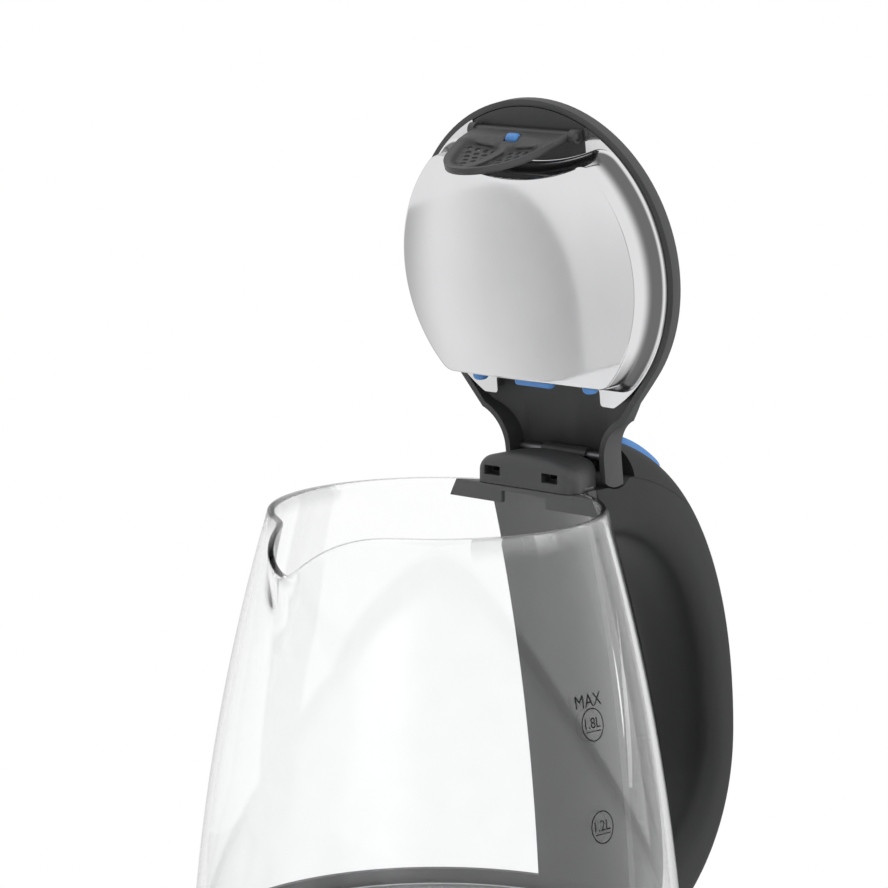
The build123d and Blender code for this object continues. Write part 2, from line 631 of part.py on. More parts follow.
def lid_crown(inset):
    """Space under the lid's dome and neck."""
    rise = LID_CROWN - LID_EDGE
    dome_radius = (LID_RADIUS**2 + rise**2) / (2 * rise)
    dome = Pos(0, 0, lid_low + LID_CROWN - dome_radius) * Sphere(dome_radius - inset)
    neck_bar = Rot(0, 90, 0) * Cylinder(NECK_ARC - inset, 2 * neck_end)
    neck_side = box_between((0, -NECK_ARC, lid_low - 1), (2 * neck_end, NECK_ARC, 2 * RIM_HEIGHT))
    return dome + (Pos(0, 0, lid_low + NECK_CROWN - NECK_ARC) * neck_bar & neck_side)


lid_block = Pos(0, 0, lid_low) * extrude(lid_plan, 2 * LID_CROWN) & lid_crown(0)
lid_hollow = Pos(0, 0, lid_low) * extrude(offset(lid_plan, -LID_WALL), 2 * LID_CROWN) & lid_crown(LID_WALL)
lid_shell = lid_block - lid_hollow
neck_open = box_between((HINGE_X + NECK_BACK, -ear_inner, 0), (2 * neck_end, ear_inner, 2 * RIM_HEIGHT))
ear_tip = box_between((HINGE_X, -half_all, 0), (2 * neck_end, half_all, 2 * RIM_HEIGHT))
ear_tip -= cross_bar(HINGE_X, hinge_z, EAR_RADIUS, half_all)
lid_shell = lid_shell - neck_open - ear_tip
lid_shell -= cross_bar(HINGE_X, hinge_z, PIVOT_RADIUS + PIVOT_CLEARANCE, pivot_half + PIVOT_CLEARANCE)
catch_top = lid_low + NECK_CROWN - LID_WALL / 2
catch = box_between(
    (HINGE_X + NECK_BACK + 0.8, -half_latch, nose_top + SLIDE_CLEARANCE),
    (HINGE_X + NECK_BACK + 0.8 + LID_WALL, half_latch, catch_top),
)
shelf = box_between(
    (HINGE_X, -half_latch, catch_top - LID_WALL / 2),
    (HINGE_X + NECK_BACK + 0.8 + LID_WALL, half_latch, catch_top),
)
lid_shell += catch + shelf
save("lid_shell", swing(lid_shell))

# Liner plate with the strainer's two pivot posts
flange_top = lid_low - 0.1
pivot_z = lid_low - STRAINER_DROP
liner_radius = LID_RADIUS - LID_WALL - LINER_GAP
liner = tube(0, liner_radius, flange_top, flange_top + LINER_THICK)
liner &= box_between((-2 * LID_RADIUS, -LID_RADIUS, 0), (TAB_REACH - 2, LID_RADIUS, 2 * RIM_HEIGHT))
neck_slot = box_between((FLANGE_CHORD + 1, -TAB_INNER, 0), (LID_RADIUS, TAB_INNER, 2 * RIM_HEIGHT))
liner -= neck_slot
post_inner = STRAINER_WIDTH / 2 + 0.3
for sign in (-1, 1):
    post = Pos(STRAINER_X, sign * (post_inner + TRUNNION_LENGTH / 2), (flange_top + pivot_z) / 2)
    liner += post * Box(2.4 * TRUNNION_RADIUS, TRUNNION_LENGTH, flange_top - pivot_z)
    post_end = Rot(90, 0, 0) * Cylinder(TRUNNION_RADIUS + POST_WALL, TRUNNION_LENGTH)
    liner += Pos(STRAINER_X, sign * (post_inner + TRUNNION_LENGTH / 2), pivot_z) * post_end
liner -= cross_bar(STRAINER_X, pivot_z, TRUNNION_RADIUS + PIVOT_CLEARANCE, STRAINER_WIDTH)
save("lid_liner", swing(liner))

# Steel inner cover: a flange with tabs and arms, and a drawn dome
flange_plan = Circle(FLANGE_RADIUS) & Pos((TAB_REACH - 2 * LID_RADIUS) / 2, 0) * Rectangle(
    TAB_REACH + 2 * LID_RADIUS, 4 * LID_RADIUS
)
flange_plan -= Pos(FLANGE_CHORD + LID_RADIUS / 2, 0) * Rectangle(LID_RADIUS, 2 * TAB_INNER)
flange_plan -= Pos(DOME_END - LID_RADIUS / 2, 0) * Rectangle(LID_RADIUS, 2 * ARM_INNER)
tips = [v for v in flange_plan.vertices() if abs(v.X - TAB_REACH) < 0.1 or v.X < 1.2 * DOME_END]
flange_plan = fillet(tips, 1.4)


def dome_solid(inset):
    """Drawn dome below the flange, tapered, with rounded corners and a hollow spout end."""
    plan = Circle(DOME_RADIUS - inset)
    width = DOME_CHORD - inset + LID_RADIUS
    plan &= Pos(DOME_CHORD - inset - width / 2, 0) * Rectangle(width, 4 * LID_RADIUS)
    plan -= Pos(DOME_END + inset - DOME_HOLLOW, 0) * Circle(DOME_HOLLOW)
    plan = fillet(plan.vertices(), DOME_CORNER - inset)
    depth = DOME_DEPTH - inset
    dome = Pos(0, 0, flange_low) * extrude(plan, -depth, taper=DOME_TAPER)
    return fillet(dome.edges().group_by(Axis.Z)[0], DOME_ROUND - inset)


flange_low = flange_top - COVER_SHEET
lid_cover = Pos(0, 0, flange_low) * extrude(flange_plan, COVER_SHEET) + dome_solid(0)
lid_cover -= dome_solid(COVER_SHEET)
dome_mouth = dome_solid(COVER_SHEET).faces().sort_by(Axis.Z)[-1]
lid_cover -= extrude(dome_mouth, COVER_SHEET, dir=(0, 0, 1))
plug_z = flange_low - DOME_DEPTH / 2
plug_x = DOME_CHORD + PLUG_REACH / 2 - 2
for sign, name in ((1, "left"), (-1, "right")):
    plug = Pos(plug_x, sign * PLUG_SPACING / 2, plug_z) * Rot(0, 90, 0)
    lid_cover -= plug * Cylinder(PLUG_RADIUS + 0.1, 2 * PLUG_REACH)
    save(f"lid_plug_{name}", swing(plug * Cylinder(PLUG_RADIUS, PLUG_REACH)))
pad_face = Plane.YZ * RectangleRounded(PAD_WIDTH, PAD_HEIGHT, PAD_HEIGHT * 0.45)
pad = Pos(plug_x - PLUG_REACH / 2, 0, plug_z) * extrude(pad_face, PLUG_REACH)
pad_hole = Plane.YZ * RectangleRounded(PAD_WIDTH + 0.2, PAD_HEIGHT + 0.2, PAD_HEIGHT * 0.45)
lid_cover -= Pos(plug_x - PLUG_REACH, 0, plug_z) * extrude(pad_hole, 2 * PLUG_REACH)
save("lid_cover", swing(lid_cover))
save("lid_pad", swing(pad))

# Strainer flap with two perforated windows
lean = radians(STRAINER_LEAN)
strainer_plane = Plane((STRAINER_X, 0, pivot_z), x_dir=(0, 1, 0), z_dir=(-cos(lean), 0, -sin(lean)))
leaf = Ellipse(STRAINER_WIDTH / 2, STRAINER_LENGTH)
below = Pos(0, STRAINER_LENGTH / 2) * Rectangle(2 * STRAINER_WIDTH, STRAINER_LENGTH)
top_bar = Rectangle(STRAINER_WIDTH, 2 * TRUNNION_RADIUS)
leaf = (leaf & below) + top_bar
window = Ellipse(STRAINER_WIDTH / 2 - RIM_WIDTH, STRAINER_LENGTH - RIM_WIDTH)
window &= Pos(0, WINDOW_TOP + STRAINER_LENGTH / 2) * Rectangle(2 * STRAINER_WIDTH, STRAINER_LENGTH)
window -= Rectangle(WEB_WIDTH, 4 * STRAINER_LENGTH)
window = fillet(window.vertices(), 1.8)
row_step = HOLE_PITCH * sqrt(3) / 2
reach_x = STRAINER_WIDTH / 2 - RIM_WIDTH - HOLE_RADIUS - 0.6
reach_y = STRAINER_LENGTH - RIM_WIDTH - HOLE_RADIUS - 0.6
spots = []
rows = int(STRAINER_LENGTH / row_step)
columns = int(STRAINER_WIDTH / HOLE_PITCH / 2)
for row in range(rows):
    for column in range(columns):
        x = WEB_WIDTH / 2 + HOLE_RADIUS + 0.8 + HOLE_PITCH * (column + 0.5 * (row % 2))
        y = WINDOW_TOP + HOLE_RADIUS + 0.8 + row * row_step
        if (x / reach_x) ** 2 + (y / reach_y) ** 2 < 1:
            spots += [(x, y), (-x, y)]
mesh = window - [Pos(*spot) * RegularPolygon(HOLE_RADIUS, 8) for spot in spots]
strainer = extrude(strainer_plane * (leaf - window), STRAINER_THICK / 2, both=True)
strainer += extrude(strainer_plane * mesh, -MESH_THICK)
strainer += cross_bar(STRAINER_X, pivot_z, TRUNNION_RADIUS, post_inner + TRUNNION_LENGTH)
peg_slot = Pos(0, PEG_DROP) * Rectangle(PEG_LENGTH + 0.4, 2 * PEG_RADIUS + 0.4)
strainer -= extrude(strainer_plane * peg_slot, STRAINER_THICK, both=True)
save("strainer", swing(strainer))
peg_place = strainer_plane * Pos(0, PEG_DROP, 0) * Rot(0, 90, 0)
peg = Cylinder(PEG_RADIUS, PEG_LENGTH)
save("strainer_peg", swing(peg_place * fillet(peg.edges(), PEG_ROUND)))
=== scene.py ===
from math import atan2, cos, hypot, pi, radians, sin, sqrt, tan

import bmesh
import bpy
from mathutils import Matrix, Vector


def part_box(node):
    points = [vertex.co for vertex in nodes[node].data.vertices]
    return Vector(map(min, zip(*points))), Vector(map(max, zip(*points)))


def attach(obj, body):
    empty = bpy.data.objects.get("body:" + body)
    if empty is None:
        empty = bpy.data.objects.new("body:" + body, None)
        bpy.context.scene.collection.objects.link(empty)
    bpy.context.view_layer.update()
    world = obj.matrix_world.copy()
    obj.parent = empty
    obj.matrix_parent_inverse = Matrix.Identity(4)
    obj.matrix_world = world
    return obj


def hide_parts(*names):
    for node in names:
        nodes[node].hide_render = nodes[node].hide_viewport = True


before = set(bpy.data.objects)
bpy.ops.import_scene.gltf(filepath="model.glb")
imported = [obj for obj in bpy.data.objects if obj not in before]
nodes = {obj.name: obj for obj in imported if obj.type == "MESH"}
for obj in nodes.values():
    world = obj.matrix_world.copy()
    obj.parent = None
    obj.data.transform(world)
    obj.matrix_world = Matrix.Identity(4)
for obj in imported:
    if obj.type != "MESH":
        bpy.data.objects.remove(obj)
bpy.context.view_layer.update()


# Power base: a round black moulding on a rubber ring, with a plate screwed in from below.
# All its plastic has a fine spark-eroded grain, which gives the matte finish its soft sheen.
class Wire:
    """A node's output that can be used in Python sums."""

    def __init__(self, tree, socket):
        self.tree = tree
        self.socket = socket

    def apply(self, operation, other=0.0):
        return math_node(self.tree, operation, self, other)

    def __add__(self, other):
        return self.apply("ADD", other)

    def __sub__(self, other):
        return self.apply("SUBTRACT", other)

    def __rsub__(self, other):
        return math_node(self.tree, "SUBTRACT", other, self)

    def __mul__(self, other):
        return self.apply("MULTIPLY", other)

    def __truediv__(self, other):
        return self.apply("DIVIDE", other)

    def __pow__(self, other):
        return self.apply("POWER", other)

    __radd__ = __add__
    __rmul__ = __mul__


def add_node(tree, kind, settings, sockets, output=0):
    """One node: its settings come first, then the values or links of its sockets."""
    made = tree.nodes.new(kind)
    for name, value in settings.items():
        setattr(made, name, value)
    for name, value in sockets.items():
        for part in value if isinstance(value, list) else [value]:
            if isinstance(part, Wire):
                tree.links.new(part.socket, made.inputs[name])
            else:
                made.inputs[name].default_value = part
    return Wire(tree, made.outputs[output])


def math_node(tree, operation, first, second):
    return add_node(tree, "ShaderNodeMath", {"operation": operation}, {0: first, 1: second})


def ramp(tree, value, start, end):
    """A soft step from 0 at start to 1 at end."""
    sockets = {0: value, 1: start, 2: end}
    return add_node(tree, "ShaderNodeMapRange", {"interpolation_type": "SMOOTHSTEP"}, sockets)


class Finish:
    """A material in the making: its Principled shader and the nodes that feed it."""

    def __init__(self, name, constants):
        self.material = bpy.data.materials.new(name)
        self.material.use_nodes = True
        self.tree = self.material.node_tree
        self.shader = self.tree.nodes["Principled BSDF"]
        self.place = self.node("ShaderNodeTexCoord", {}, {}, "Object")
        for socket, value in constants.items():
            self.shader.inputs[socket].default_value = value

    def node(self, kind, settings, sockets, output=0):
        return add_node(self.tree, kind, settings, sockets, output)

    def noise(self, scale, detail=2.0, stretch=(1, 1, 1)):
        spot = self.node("ShaderNodeMapping", {}, {"Vector": self.place, "Scale": stretch})
        sockets = {"Vector": spot, "Scale": scale, "Detail": detail}
        return self.node("ShaderNodeTexNoise", {}, sockets, "Fac")

    def blend(self, share, dark, light):
        sockets = {"Factor": share, 6: (*dark, 1.0), 7: (*light, 1.0)}
        return self.node("ShaderNodeMix", {"data_type": "RGBA"}, sockets, 2)

    def feed(self, socket, wire):
        self.tree.links.new(wire.socket, self.shader.inputs[socket])

    def bump(self, height, distance, strength=1.0):
        sockets = {"Height": height, "Distance": distance, "Strength": strength}
        self.feed("Normal", self.node("ShaderNodeBump", {}, sockets))


def shaded(colour, share):
    """A colour made darker or lighter."""
    return [min(1.0, share * part) for part in colour]


def moulded(name, colour, roughness, grain=0.00004, specular=0.5, groove=None):
    """Injection-moulded plastic: slow drift of tone, a fine eroded grain and faint rub marks."""
    finish = Finish(name, {"Specular IOR Level": specular})
    drift = finish.noise(22.0, 3.0)
    speck = finish.noise(2600.0, 1.0)
    rub = finish.noise(60.0, 4.0, (1, 1, 0.25))
    tone = drift * 0.75 + speck * 0.25
    height = speck
    if groove:
        line = groove(finish)
        tone = tone * (1 - line) - line * 5.0
        height = speck - line * 6.0
    finish.feed("Base Color", finish.blend(tone, shaded(colour, 0.86), shaded(colour, 1.14)))
    finish.feed("Roughness", roughness - 0.06 + drift * 0.06 + rub * 0.06)
    finish.bump(height, grain)
    return finish.material


def dress(material, *names):
    """Give CAD pieces their finish."""
    for name in names:
        mesh = nodes[name].data
        mesh.materials.clear()
        mesh.materials.append(material)


def metal(name, colour, roughness, streak, stretch, depth=0.000004, dull_and_shade=None):
    """Bare metal: drawn streaks along one axis, patches of duller surface, and a rougher zone whose
    colour is darkened as painted shade.
    """
    finish = Finish(name, {"Metallic": 1.0})
    patch = finish.noise(45.0, 3.0)
    lines = finish.noise(900.0, 2.0, stretch)
    tone = finish.blend(patch, shaded(colour, 0.94), shaded(colour, 1.04))
    sheen = roughness + patch * 0.05 + lines * streak
    if dull_and_shade:
        share = dull_and_shade(finish)
        # Painted shade: the zone's colour drops to a fifth. Its added roughness is real.
        sockets = {"Factor": share, 6: tone, 7: (*shaded(colour, 0.2), 1.0)}
        tone = finish.node("ShaderNodeMix", {"data_type": "RGBA"}, sockets, 2)
        sheen = sheen + share * 0.16
    finish.feed("Base Color", tone)
    finish.feed("Roughness", sheen)
    finish.bump(lines, depth)
    return finish.material


def settle(made, body):
    """Link a finished piece to its body."""
    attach(made, body)
    return made


def grown(name, sizes, plan, material, body):
    """A piece that a Geometry Nodes tree makes from named sizes, kept as a plain mesh."""
    tree = bpy.data.node_groups.new(name, "GeometryNodeTree")
    tree.interface.new_socket("Mesh", in_out="OUTPUT", socket_type="NodeSocketGeometry")
    keys = {}
    for label in sizes:
        socket = tree.interface.new_socket(label, in_out="INPUT", socket_type="NodeSocketFloat")
        keys[label] = socket.identifier
    entry = tree.nodes.new("NodeGroupInput")
    shape = plan(tree, {label: Wire(tree, entry.outputs[label]) for label in sizes})
    whole = add_node(tree, "GeometryNodeRealizeInstances", {}, {"Geometry": shape})
    sockets = {"Geometry": whole, "Material": material}
    coated = add_node(tree, "GeometryNodeSetMaterial", {}, sockets)
    tree.links.new(coated.socket, tree.nodes.new("NodeGroupOutput").inputs["Mesh"])
    made = bpy.data.objects.new(name, bpy.data.meshes.new(name))
    bpy.context.scene.collection.objects.link(made)
    growth = made.modifiers.new("growth", "NODES")
    growth.node_group = tree
    for label, value in sizes.items():
        growth[keys[label]] = value
    seen = made.evaluated_get(bpy.context.evaluated_depsgraph_get())
    mesh = bpy.data.meshes.new_from_object(seen)
    made.modifiers.remove(growth)
    made.data = mesh
    return settle(made, body)


SCREW_SIDES = 28
SCREW_DOME = 1.9
CROSS_LONG = 1.2
CROSS_WIDE = 0.26
CROSS_RISE = 0.6


def screw_ring(tree, size):
    """Pan heads with a cross recess, set round a circle and facing down."""
    head, rise = size["Head"], size["Rise"]
    sockets = {"Vertices": SCREW_SIDES, "Radius": head, "Depth": rise}
    disc = add_node(tree, "GeometryNodeMeshCylinder", {}, sockets)
    sockets = {"Segments": SCREW_SIDES, "Rings": 12, "Radius": head * SCREW_DOME}
    ball = add_node(tree, "GeometryNodeMeshUVSphere", {}, sockets)
    lift = add_node(tree, "ShaderNodeCombineXYZ", {}, {"Z": head * -SCREW_DOME + rise * 0.5})
    ball = add_node(tree, "GeometryNodeTransform", {}, {"Geometry": ball, "Translation": lift})
    sockets = {"Mesh 2": [disc, ball]}
    cap = add_node(tree, "GeometryNodeMeshBoolean", {"operation": "INTERSECT"}, sockets)
    arms = []
    for long, wide in ((CROSS_LONG, CROSS_WIDE), (CROSS_WIDE, CROSS_LONG)):
        extent = {"X": head * long, "Y": head * wide, "Z": rise}
        bar = add_node(tree, "ShaderNodeCombineXYZ", {}, extent)
        bar = add_node(tree, "GeometryNodeMeshCube", {}, {"Size": bar})
        up = add_node(tree, "ShaderNodeCombineXYZ", {}, {"Z": rise * CROSS_RISE})
        sockets = {"Geometry": bar, "Translation": up}
        arms.append(add_node(tree, "GeometryNodeTransform", {}, sockets))
    sockets = {"Mesh 1": cap, "Mesh 2": arms}
    cap = add_node(tree, "GeometryNodeMeshBoolean", {"operation": "DIFFERENCE"}, sockets)
    sockets = {"Vertices": size["Count"], "Radius": size["Ring"]}
    ring = add_node(tree, "GeometryNodeMeshCircle", {}, sockets)
    spread = add_node(tree, "GeometryNodeInstanceOnPoints", {}, {"Points": ring, "Instance": cap})
    drop = add_node(tree, "ShaderNodeCombineXYZ", {}, {"Z": size["Level"] - rise * 0.5})
    turn = {"Geometry": spread, "Translation": drop, "Rotation": (pi, 0, pi / 3)}
    return add_node(tree, "GeometryNodeTransform", {}, turn)


black_plastic = moulded("black_plastic", (0.013, 0.013, 0.014), 0.5)
rubber = moulded("grey_rubber", (0.020, 0.020, 0.021), 0.75, 0.00008, 0.3)
satin_steel = metal("satin_steel", (0.62, 0.62, 0.63), 0.24, 0.14, (1, 0.03, 1))
dress(black_plastic, "base_cover", "base_plate", "base_connector")
dress(rubber, "base_foot_ring", "cord_bushing")
base_screws = {
    "Head": 0.0031,
    "Rise": 0.0009,
    "Count": 3,
    "Ring": 0.056,
    "Level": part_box("base_plate")[0][2],
}
grown("base_screws", base_screws, screw_ring, satin_steel, "power_base")


# Contacts: turned and rolled brass in the base's boss and in the kettle's socket.
# Brass is brighter and duller in random patches.
brass = metal("brass", (0.66, 0.46, 0.19), 0.18, 0.1, (1, 1, 0.05))
dress(brass, "base_contact_sleeve", "base_contact_ring", "kettle_pin", "kettle_ring")


# Heater: a satin steel floor with an aluminium spreader and a sheathed element brazed below it.
# The bimetal disc and the pins of hinge and switch are steel too.
aluminium = metal("aluminium", (0.72, 0.73, 0.74), 0.38, 0.1, (1, 1, 1))
pin_steel = metal("pin_steel", (0.24, 0.24, 0.25), 0.42, 0.1, (1, 0.02, 1))
dress(satin_steel, "heating_plate", "bimetal_disc")
dress(pin_steel, "hinge_pin", "switch_pin")
dress(aluminium, "heat_spreader", "heating_element")


# Lower housing: the dark skirt round the glass foot, the black bottom cover held by three screws,
# the control unit, and the milky silicone seal that the glass stands in.
dark_grey = (0.046, 0.0465, 0.0475)
dark_plastic = moulded("dark_plastic", dark_grey, 0.46)
silicone = moulded("clear_silicone", (0.52, 0.53, 0.54), 0.5, 0.00002)
dress(dark_plastic, "skirt")
dress(black_plastic, "bottom_cover", "control_unit")
dress(silicone, "glass_seal")
cover_screws = {**base_screws, "Ring": 0.046, "Level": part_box("skirt")[0][2]}
grown("cover_screws", cover_screws, screw_ring, satin_steel, "kettle")


# Glass jug: blown borosilicate, drawn in to the rim, with a beak pulled out while soft.
# The rim is fire-polished to a round lip, so it draws a fine double line of light.
RIM_RADIUS = 0.0577
RIM_HEIGHT = 0.218
BELLY_ARC = 0.732
BELLY_HEIGHT = 0.01285
LIP_CLEARNESS = 0.68
jug_sizes = {
    "Rim radius": RIM_RADIUS,
    "Rim height": RIM_HEIGHT,
    "Belly arc": BELLY_ARC,
    "Belly height": BELLY_HEIGHT,
    "Foot height": 0.058,
    "Wall": 0.0026,
    "Beak reach": 0.018,
    "Beak dip": 0.0128,
    "Beak depth": 0.046,
    "Beak width": 0.271,
    "Beak power": 2.27,
    "Dip depth": 0.03,
    "Dip width": 0.152,
    "Dip power": 1.71,
}


def drawn_jug(tree, size):
    """A grid wrapped round the jug: the turn from the beak runs across it, the wall and lip up it.

    Its columns crowd together at the beak, where the wall bends most.
    """
    turns, path, lip_steps = 288, 160, 16
    crowding = 0.65
    sockets = {"Size X": 1, "Size Y": 1, "Vertices X": turns + 1, "Vertices Y": path + 2}
    grid = add_node(tree, "GeometryNodeMeshGrid", {}, sockets)
    split = add_node(tree, "GeometryNodeInputPosition", {}, {})
    across = add_node(tree, "ShaderNodeSeparateXYZ", {}, {0: split}, "X") * 2.0
    along = add_node(tree, "ShaderNodeSeparateXYZ", {}, {0: split}, "Y")
    along = (along + 0.5) * ((path + 1) / path)
    turn = across * (across * across * crowding + (1 - crowding)) * pi
    spread = turn.apply("ABSOLUTE")

    def limited(value):
        return value.apply("MAXIMUM", 0.0).apply("MINIMUM", 1.0)

    def bell(width, power):
        return (((spread / width) ** power) * -1.0).apply("EXPONENT")

    def belly(z):
        offset = z - size["Belly height"]
        return (size["Belly arc"] * size["Belly arc"] - offset * offset).apply("SQRT")

    lip_share = lip_steps / path
    leg_share = (1 - lip_share) / 2
    level = limited(along / leg_share).apply("MINIMUM", limited((1 - along) / leg_share))
    lip = limited((along - leg_share) / lip_share) * pi
    half = size["Wall"] * 0.5
    closing = limited((along - 1.0) * path)
    inset = half * (1 - lip.apply("COSINE")) * (1 - closing)
    lift = half * lip.apply("SINE")
    height = size["Foot height"] + (size["Rim height"] - half - size["Foot height"]) * level
    near = limited(1 - (size["Rim height"] - height) / size["Dip depth"])
    height = height - size["Beak dip"] * bell(size["Dip width"], size["Dip power"]) * near
    rise = limited(1 - (size["Rim height"] - height) / size["Beak depth"])
    fade = rise * rise * (3 - rise * 2.0)
    radius = size["Rim radius"] + belly(height) - belly(size["Rim height"]) - inset
    radius = radius + fade * size["Beak reach"] * bell(size["Beak width"], size["Beak power"])
    place = {
        "X": radius * turn.apply("COSINE") * -1.0,
        "Y": radius * turn.apply("SINE") * -1.0,
        "Z": height + lift,
    }
    place = add_node(tree, "ShaderNodeCombineXYZ", {}, place)
    # Mask for painted light on the lip: there the glass is made partly see-through, so the lip
    # shows lighter.
    lip_painted_light = limited(1.6 - (along - 0.5).apply("ABSOLUTE") / lip_share * 2.4)
    kind = {"data_type": "FLOAT", "domain": "POINT"}
    sockets = {"Geometry": grid, "Name": "lip", "Value": lip_painted_light}
    marked = add_node(tree, "GeometryNodeStoreNamedAttribute", kind, sockets)
    sockets = {"Geometry": marked, "Position": place}
    wrapped = add_node(tree, "GeometryNodeSetPosition", {}, sockets)
    sockets = {"Geometry": wrapped, "Distance": 0.000001}
    closed = add_node(tree, "GeometryNodeMergeByDistance", {}, sockets)
    return add_node(tree, "GeometryNodeSetShadeSmooth", {}, {"Geometry": closed})


def blown_glass():
    """Clear glass with a slow ripple and a faint bloom, made partly see-through on its lip as
    painted light, which lightens the lip where trapped light renders it dark.
    """
    finish = Finish("clear_glass", {"Transmission Weight": 1.0, "IOR": 1.47})
    ripple = finish.noise(14.0, 1.0, (1, 1, 0.3))
    bloom = finish.noise(90.0, 3.0)
    finish.feed("Base Color", finish.blend(bloom, (0.97, 0.98, 0.98), (1.0, 1.0, 1.0)))
    finish.feed("Roughness", bloom * 0.012)
    lip = finish.node("ShaderNodeAttribute", {"attribute_name": "lip"}, {}, "Fac")
    # Painted light: the lip lets part of what lies behind show straight through.
    finish.feed("Alpha", 1 - lip * LIP_CLEARNESS)
    finish.bump(ripple, 0.0003, 0.4)
    return finish.material


jug = grown("blown_jug", jug_sizes, drawn_jug, blown_glass(), "kettle")
jug.visible_shadow = False
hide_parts("glass_jug")


# Fill marks: dark grey ink printed on the glass beside the handle, a word and two ringed levels.
# The ink is a thin raised film with pinholes, fired on.
INK_RISE = 0.00004
WORD_LEVEL = 0.1626
WORD_TURN = -94.4
WORD_TALL, WORD_WIDE, WORD_DROP = 0.0042, 0.0122, -0.002
LEVEL_MARKS = ((0.1547, -94.0, "1.8L"), (0.1212, -94.8, "1.2L"))
LEVEL_TALL, LEVEL_WIDE, LEVEL_DROP = 0.0035, 0.0072, -0.0012
HOOP_RADIUS, HOOP_LINE = 0.0055, 0.00042
HOOP_NARROW = 0.94
HOOP_STEPS = 72
DASH_HALF, DASH_LINE, DASH_DROP = 0.0035, 0.00036, -0.0024


def wall_radius(z):
    """The jug's outer radius at a height, beside the beak."""

    def belly(level):
        return sqrt(BELLY_ARC**2 - (level - BELLY_HEIGHT) ** 2)

    return RIM_RADIUS + belly(z) - belly(RIM_HEIGHT)


def on_glass(point, level, middle):
    """Wrap a flat point of the print round the jug's outer face."""
    z = level + point[1]
    radius = wall_radius(z) + INK_RISE + point[2]
    turn = radians(middle) + point[0] / radius
    return Vector((radius * cos(turn), radius * sin(turn), z))


def word_mesh(text, tall, wide, drop):
    """Flat letters as thick as the ink, scaled to a height and a width."""
    curve = bpy.data.curves.new("letters", "FONT")
    curve.body = text
    curve.align_x = "CENTER"
    curve.extrude = INK_RISE / 2
    curve.resolution_u = 4
    holder = bpy.data.objects.new("letters", curve)
    bpy.context.scene.collection.objects.link(holder)
    seen = holder.evaluated_get(bpy.context.evaluated_depsgraph_get())
    flat = bpy.data.meshes.new_from_object(seen)
    bpy.data.objects.remove(holder)
    low = [min(v.co[axis] for v in flat.vertices) for axis in (0, 1)]
    high = [max(v.co[axis] for v in flat.vertices) for axis in (0, 1)]
    points = []
    for v in flat.vertices:
        u = ((v.co.x - low[0]) / (high[0] - low[0]) - 0.5) * wide
        points.append((u, (v.co.y - low[1]) / (high[1] - low[1]) * tall + drop, v.co.z))
    return points, [tuple(face.vertices) for face in flat.polygons]


def ring_faces(rings, count, closed=False):
    """Quads between rings of as many points each."""
    faces = []
    for ring in range(rings if closed else rings - 1):
        for spot in range(count):
            after = (spot + 1) % count
            low = ring * count
            high = (ring + 1) % rings * count
            faces.append((low + spot, low + after, high + after, high + spot))
    return faces


def hoop_mesh(radius, line):
    """A thin printed ring."""
    points = []
    half = INK_RISE / 2
    inner = radius - line
    for reach, rise in ((radius, -half), (radius, half), (inner, half), (inner, -half)):
        for step in range(HOOP_STEPS):
            turn = 2 * pi * step / HOOP_STEPS
            points.append((reach * cos(turn) * HOOP_NARROW, reach * sin(turn), rise))
    return points, ring_faces(4, HOOP_STEPS, True)


def bar_mesh(half_long, line, drop):
    """A printed dash."""
    half = INK_RISE / 2
    points = []
    top = drop + line
    for x in (-half_long, half_long):
        points += [(x, drop, -half), (x, top, -half), (x, top, half), (x, drop, half)]
    faces = [(0, 1, 2, 3), (7, 6, 5, 4), (0, 4, 5, 1), (1, 5, 6, 2), (2, 6, 7, 3), (3, 7, 4, 0)]
    return points, faces


def piece(name, points, faces, material, body, crease=40):
    """A finished mesh piece that rides on a body."""
    mesh = bpy.data.meshes.new(name)
    mesh.from_pydata(points, [], faces)
    mesh.materials.append(material)
    mesh.polygons.foreach_set("use_smooth", [True] * len(mesh.polygons))
    mesh.set_sharp_from_angle(angle=radians(crease))
    made = bpy.data.objects.new(name, mesh)
    bpy.context.scene.collection.objects.link(made)
    return settle(made, body)


def fired_ink():
    """Matte dark ink, a little worn."""
    finish = Finish("fired_ink", {"Specular IOR Level": 0.12})
    wear = finish.noise(2200.0, 2.0)
    drift = finish.noise(120.0, 2.0)
    finish.feed("Base Color", finish.blend(drift, (0.006, 0.006, 0.007), (0.012, 0.012, 0.013)))
    finish.feed("Roughness", 0.45 + wear * 0.2)
    finish.bump(wear, 0.00001)
    return finish.material


ink = fired_ink()
mark_points, mark_faces = [], []


def print_mark(flat, level, middle):
    """Add a flat mark to the print, at a height and a turn round the jug."""
    start = len(mark_points)
    mark_points.extend(on_glass(point, level, middle) for point in flat[0])
    mark_faces.extend(tuple(start + corner for corner in face) for face in flat[1])


print_mark(word_mesh("MAX", WORD_TALL, WORD_WIDE, WORD_DROP), WORD_LEVEL, WORD_TURN)
for level, middle, text in LEVEL_MARKS:
    print_mark(hoop_mesh(HOOP_RADIUS, HOOP_LINE), level, middle)
    print_mark(word_mesh(text, LEVEL_TALL, LEVEL_WIDE, LEVEL_DROP), level, middle)
    print_mark(bar_mesh(DASH_HALF, DASH_LINE, DASH_DROP), level, middle)
piece("fill_marks", mark_points, mark_faces, ink, "kettle")


# Handle: a spine behind the glass and a bow in two dark mouldings that meet on a curved seam.
# The spine shares the skirt's plastic, the bow is a shade darker, and the seam is a fine sunk line.
SEAM_CENTRE = (0.05205, 0.10876)
SEAM_RADIUS = 0.11456
SEAM_WIDTH = 0.00022


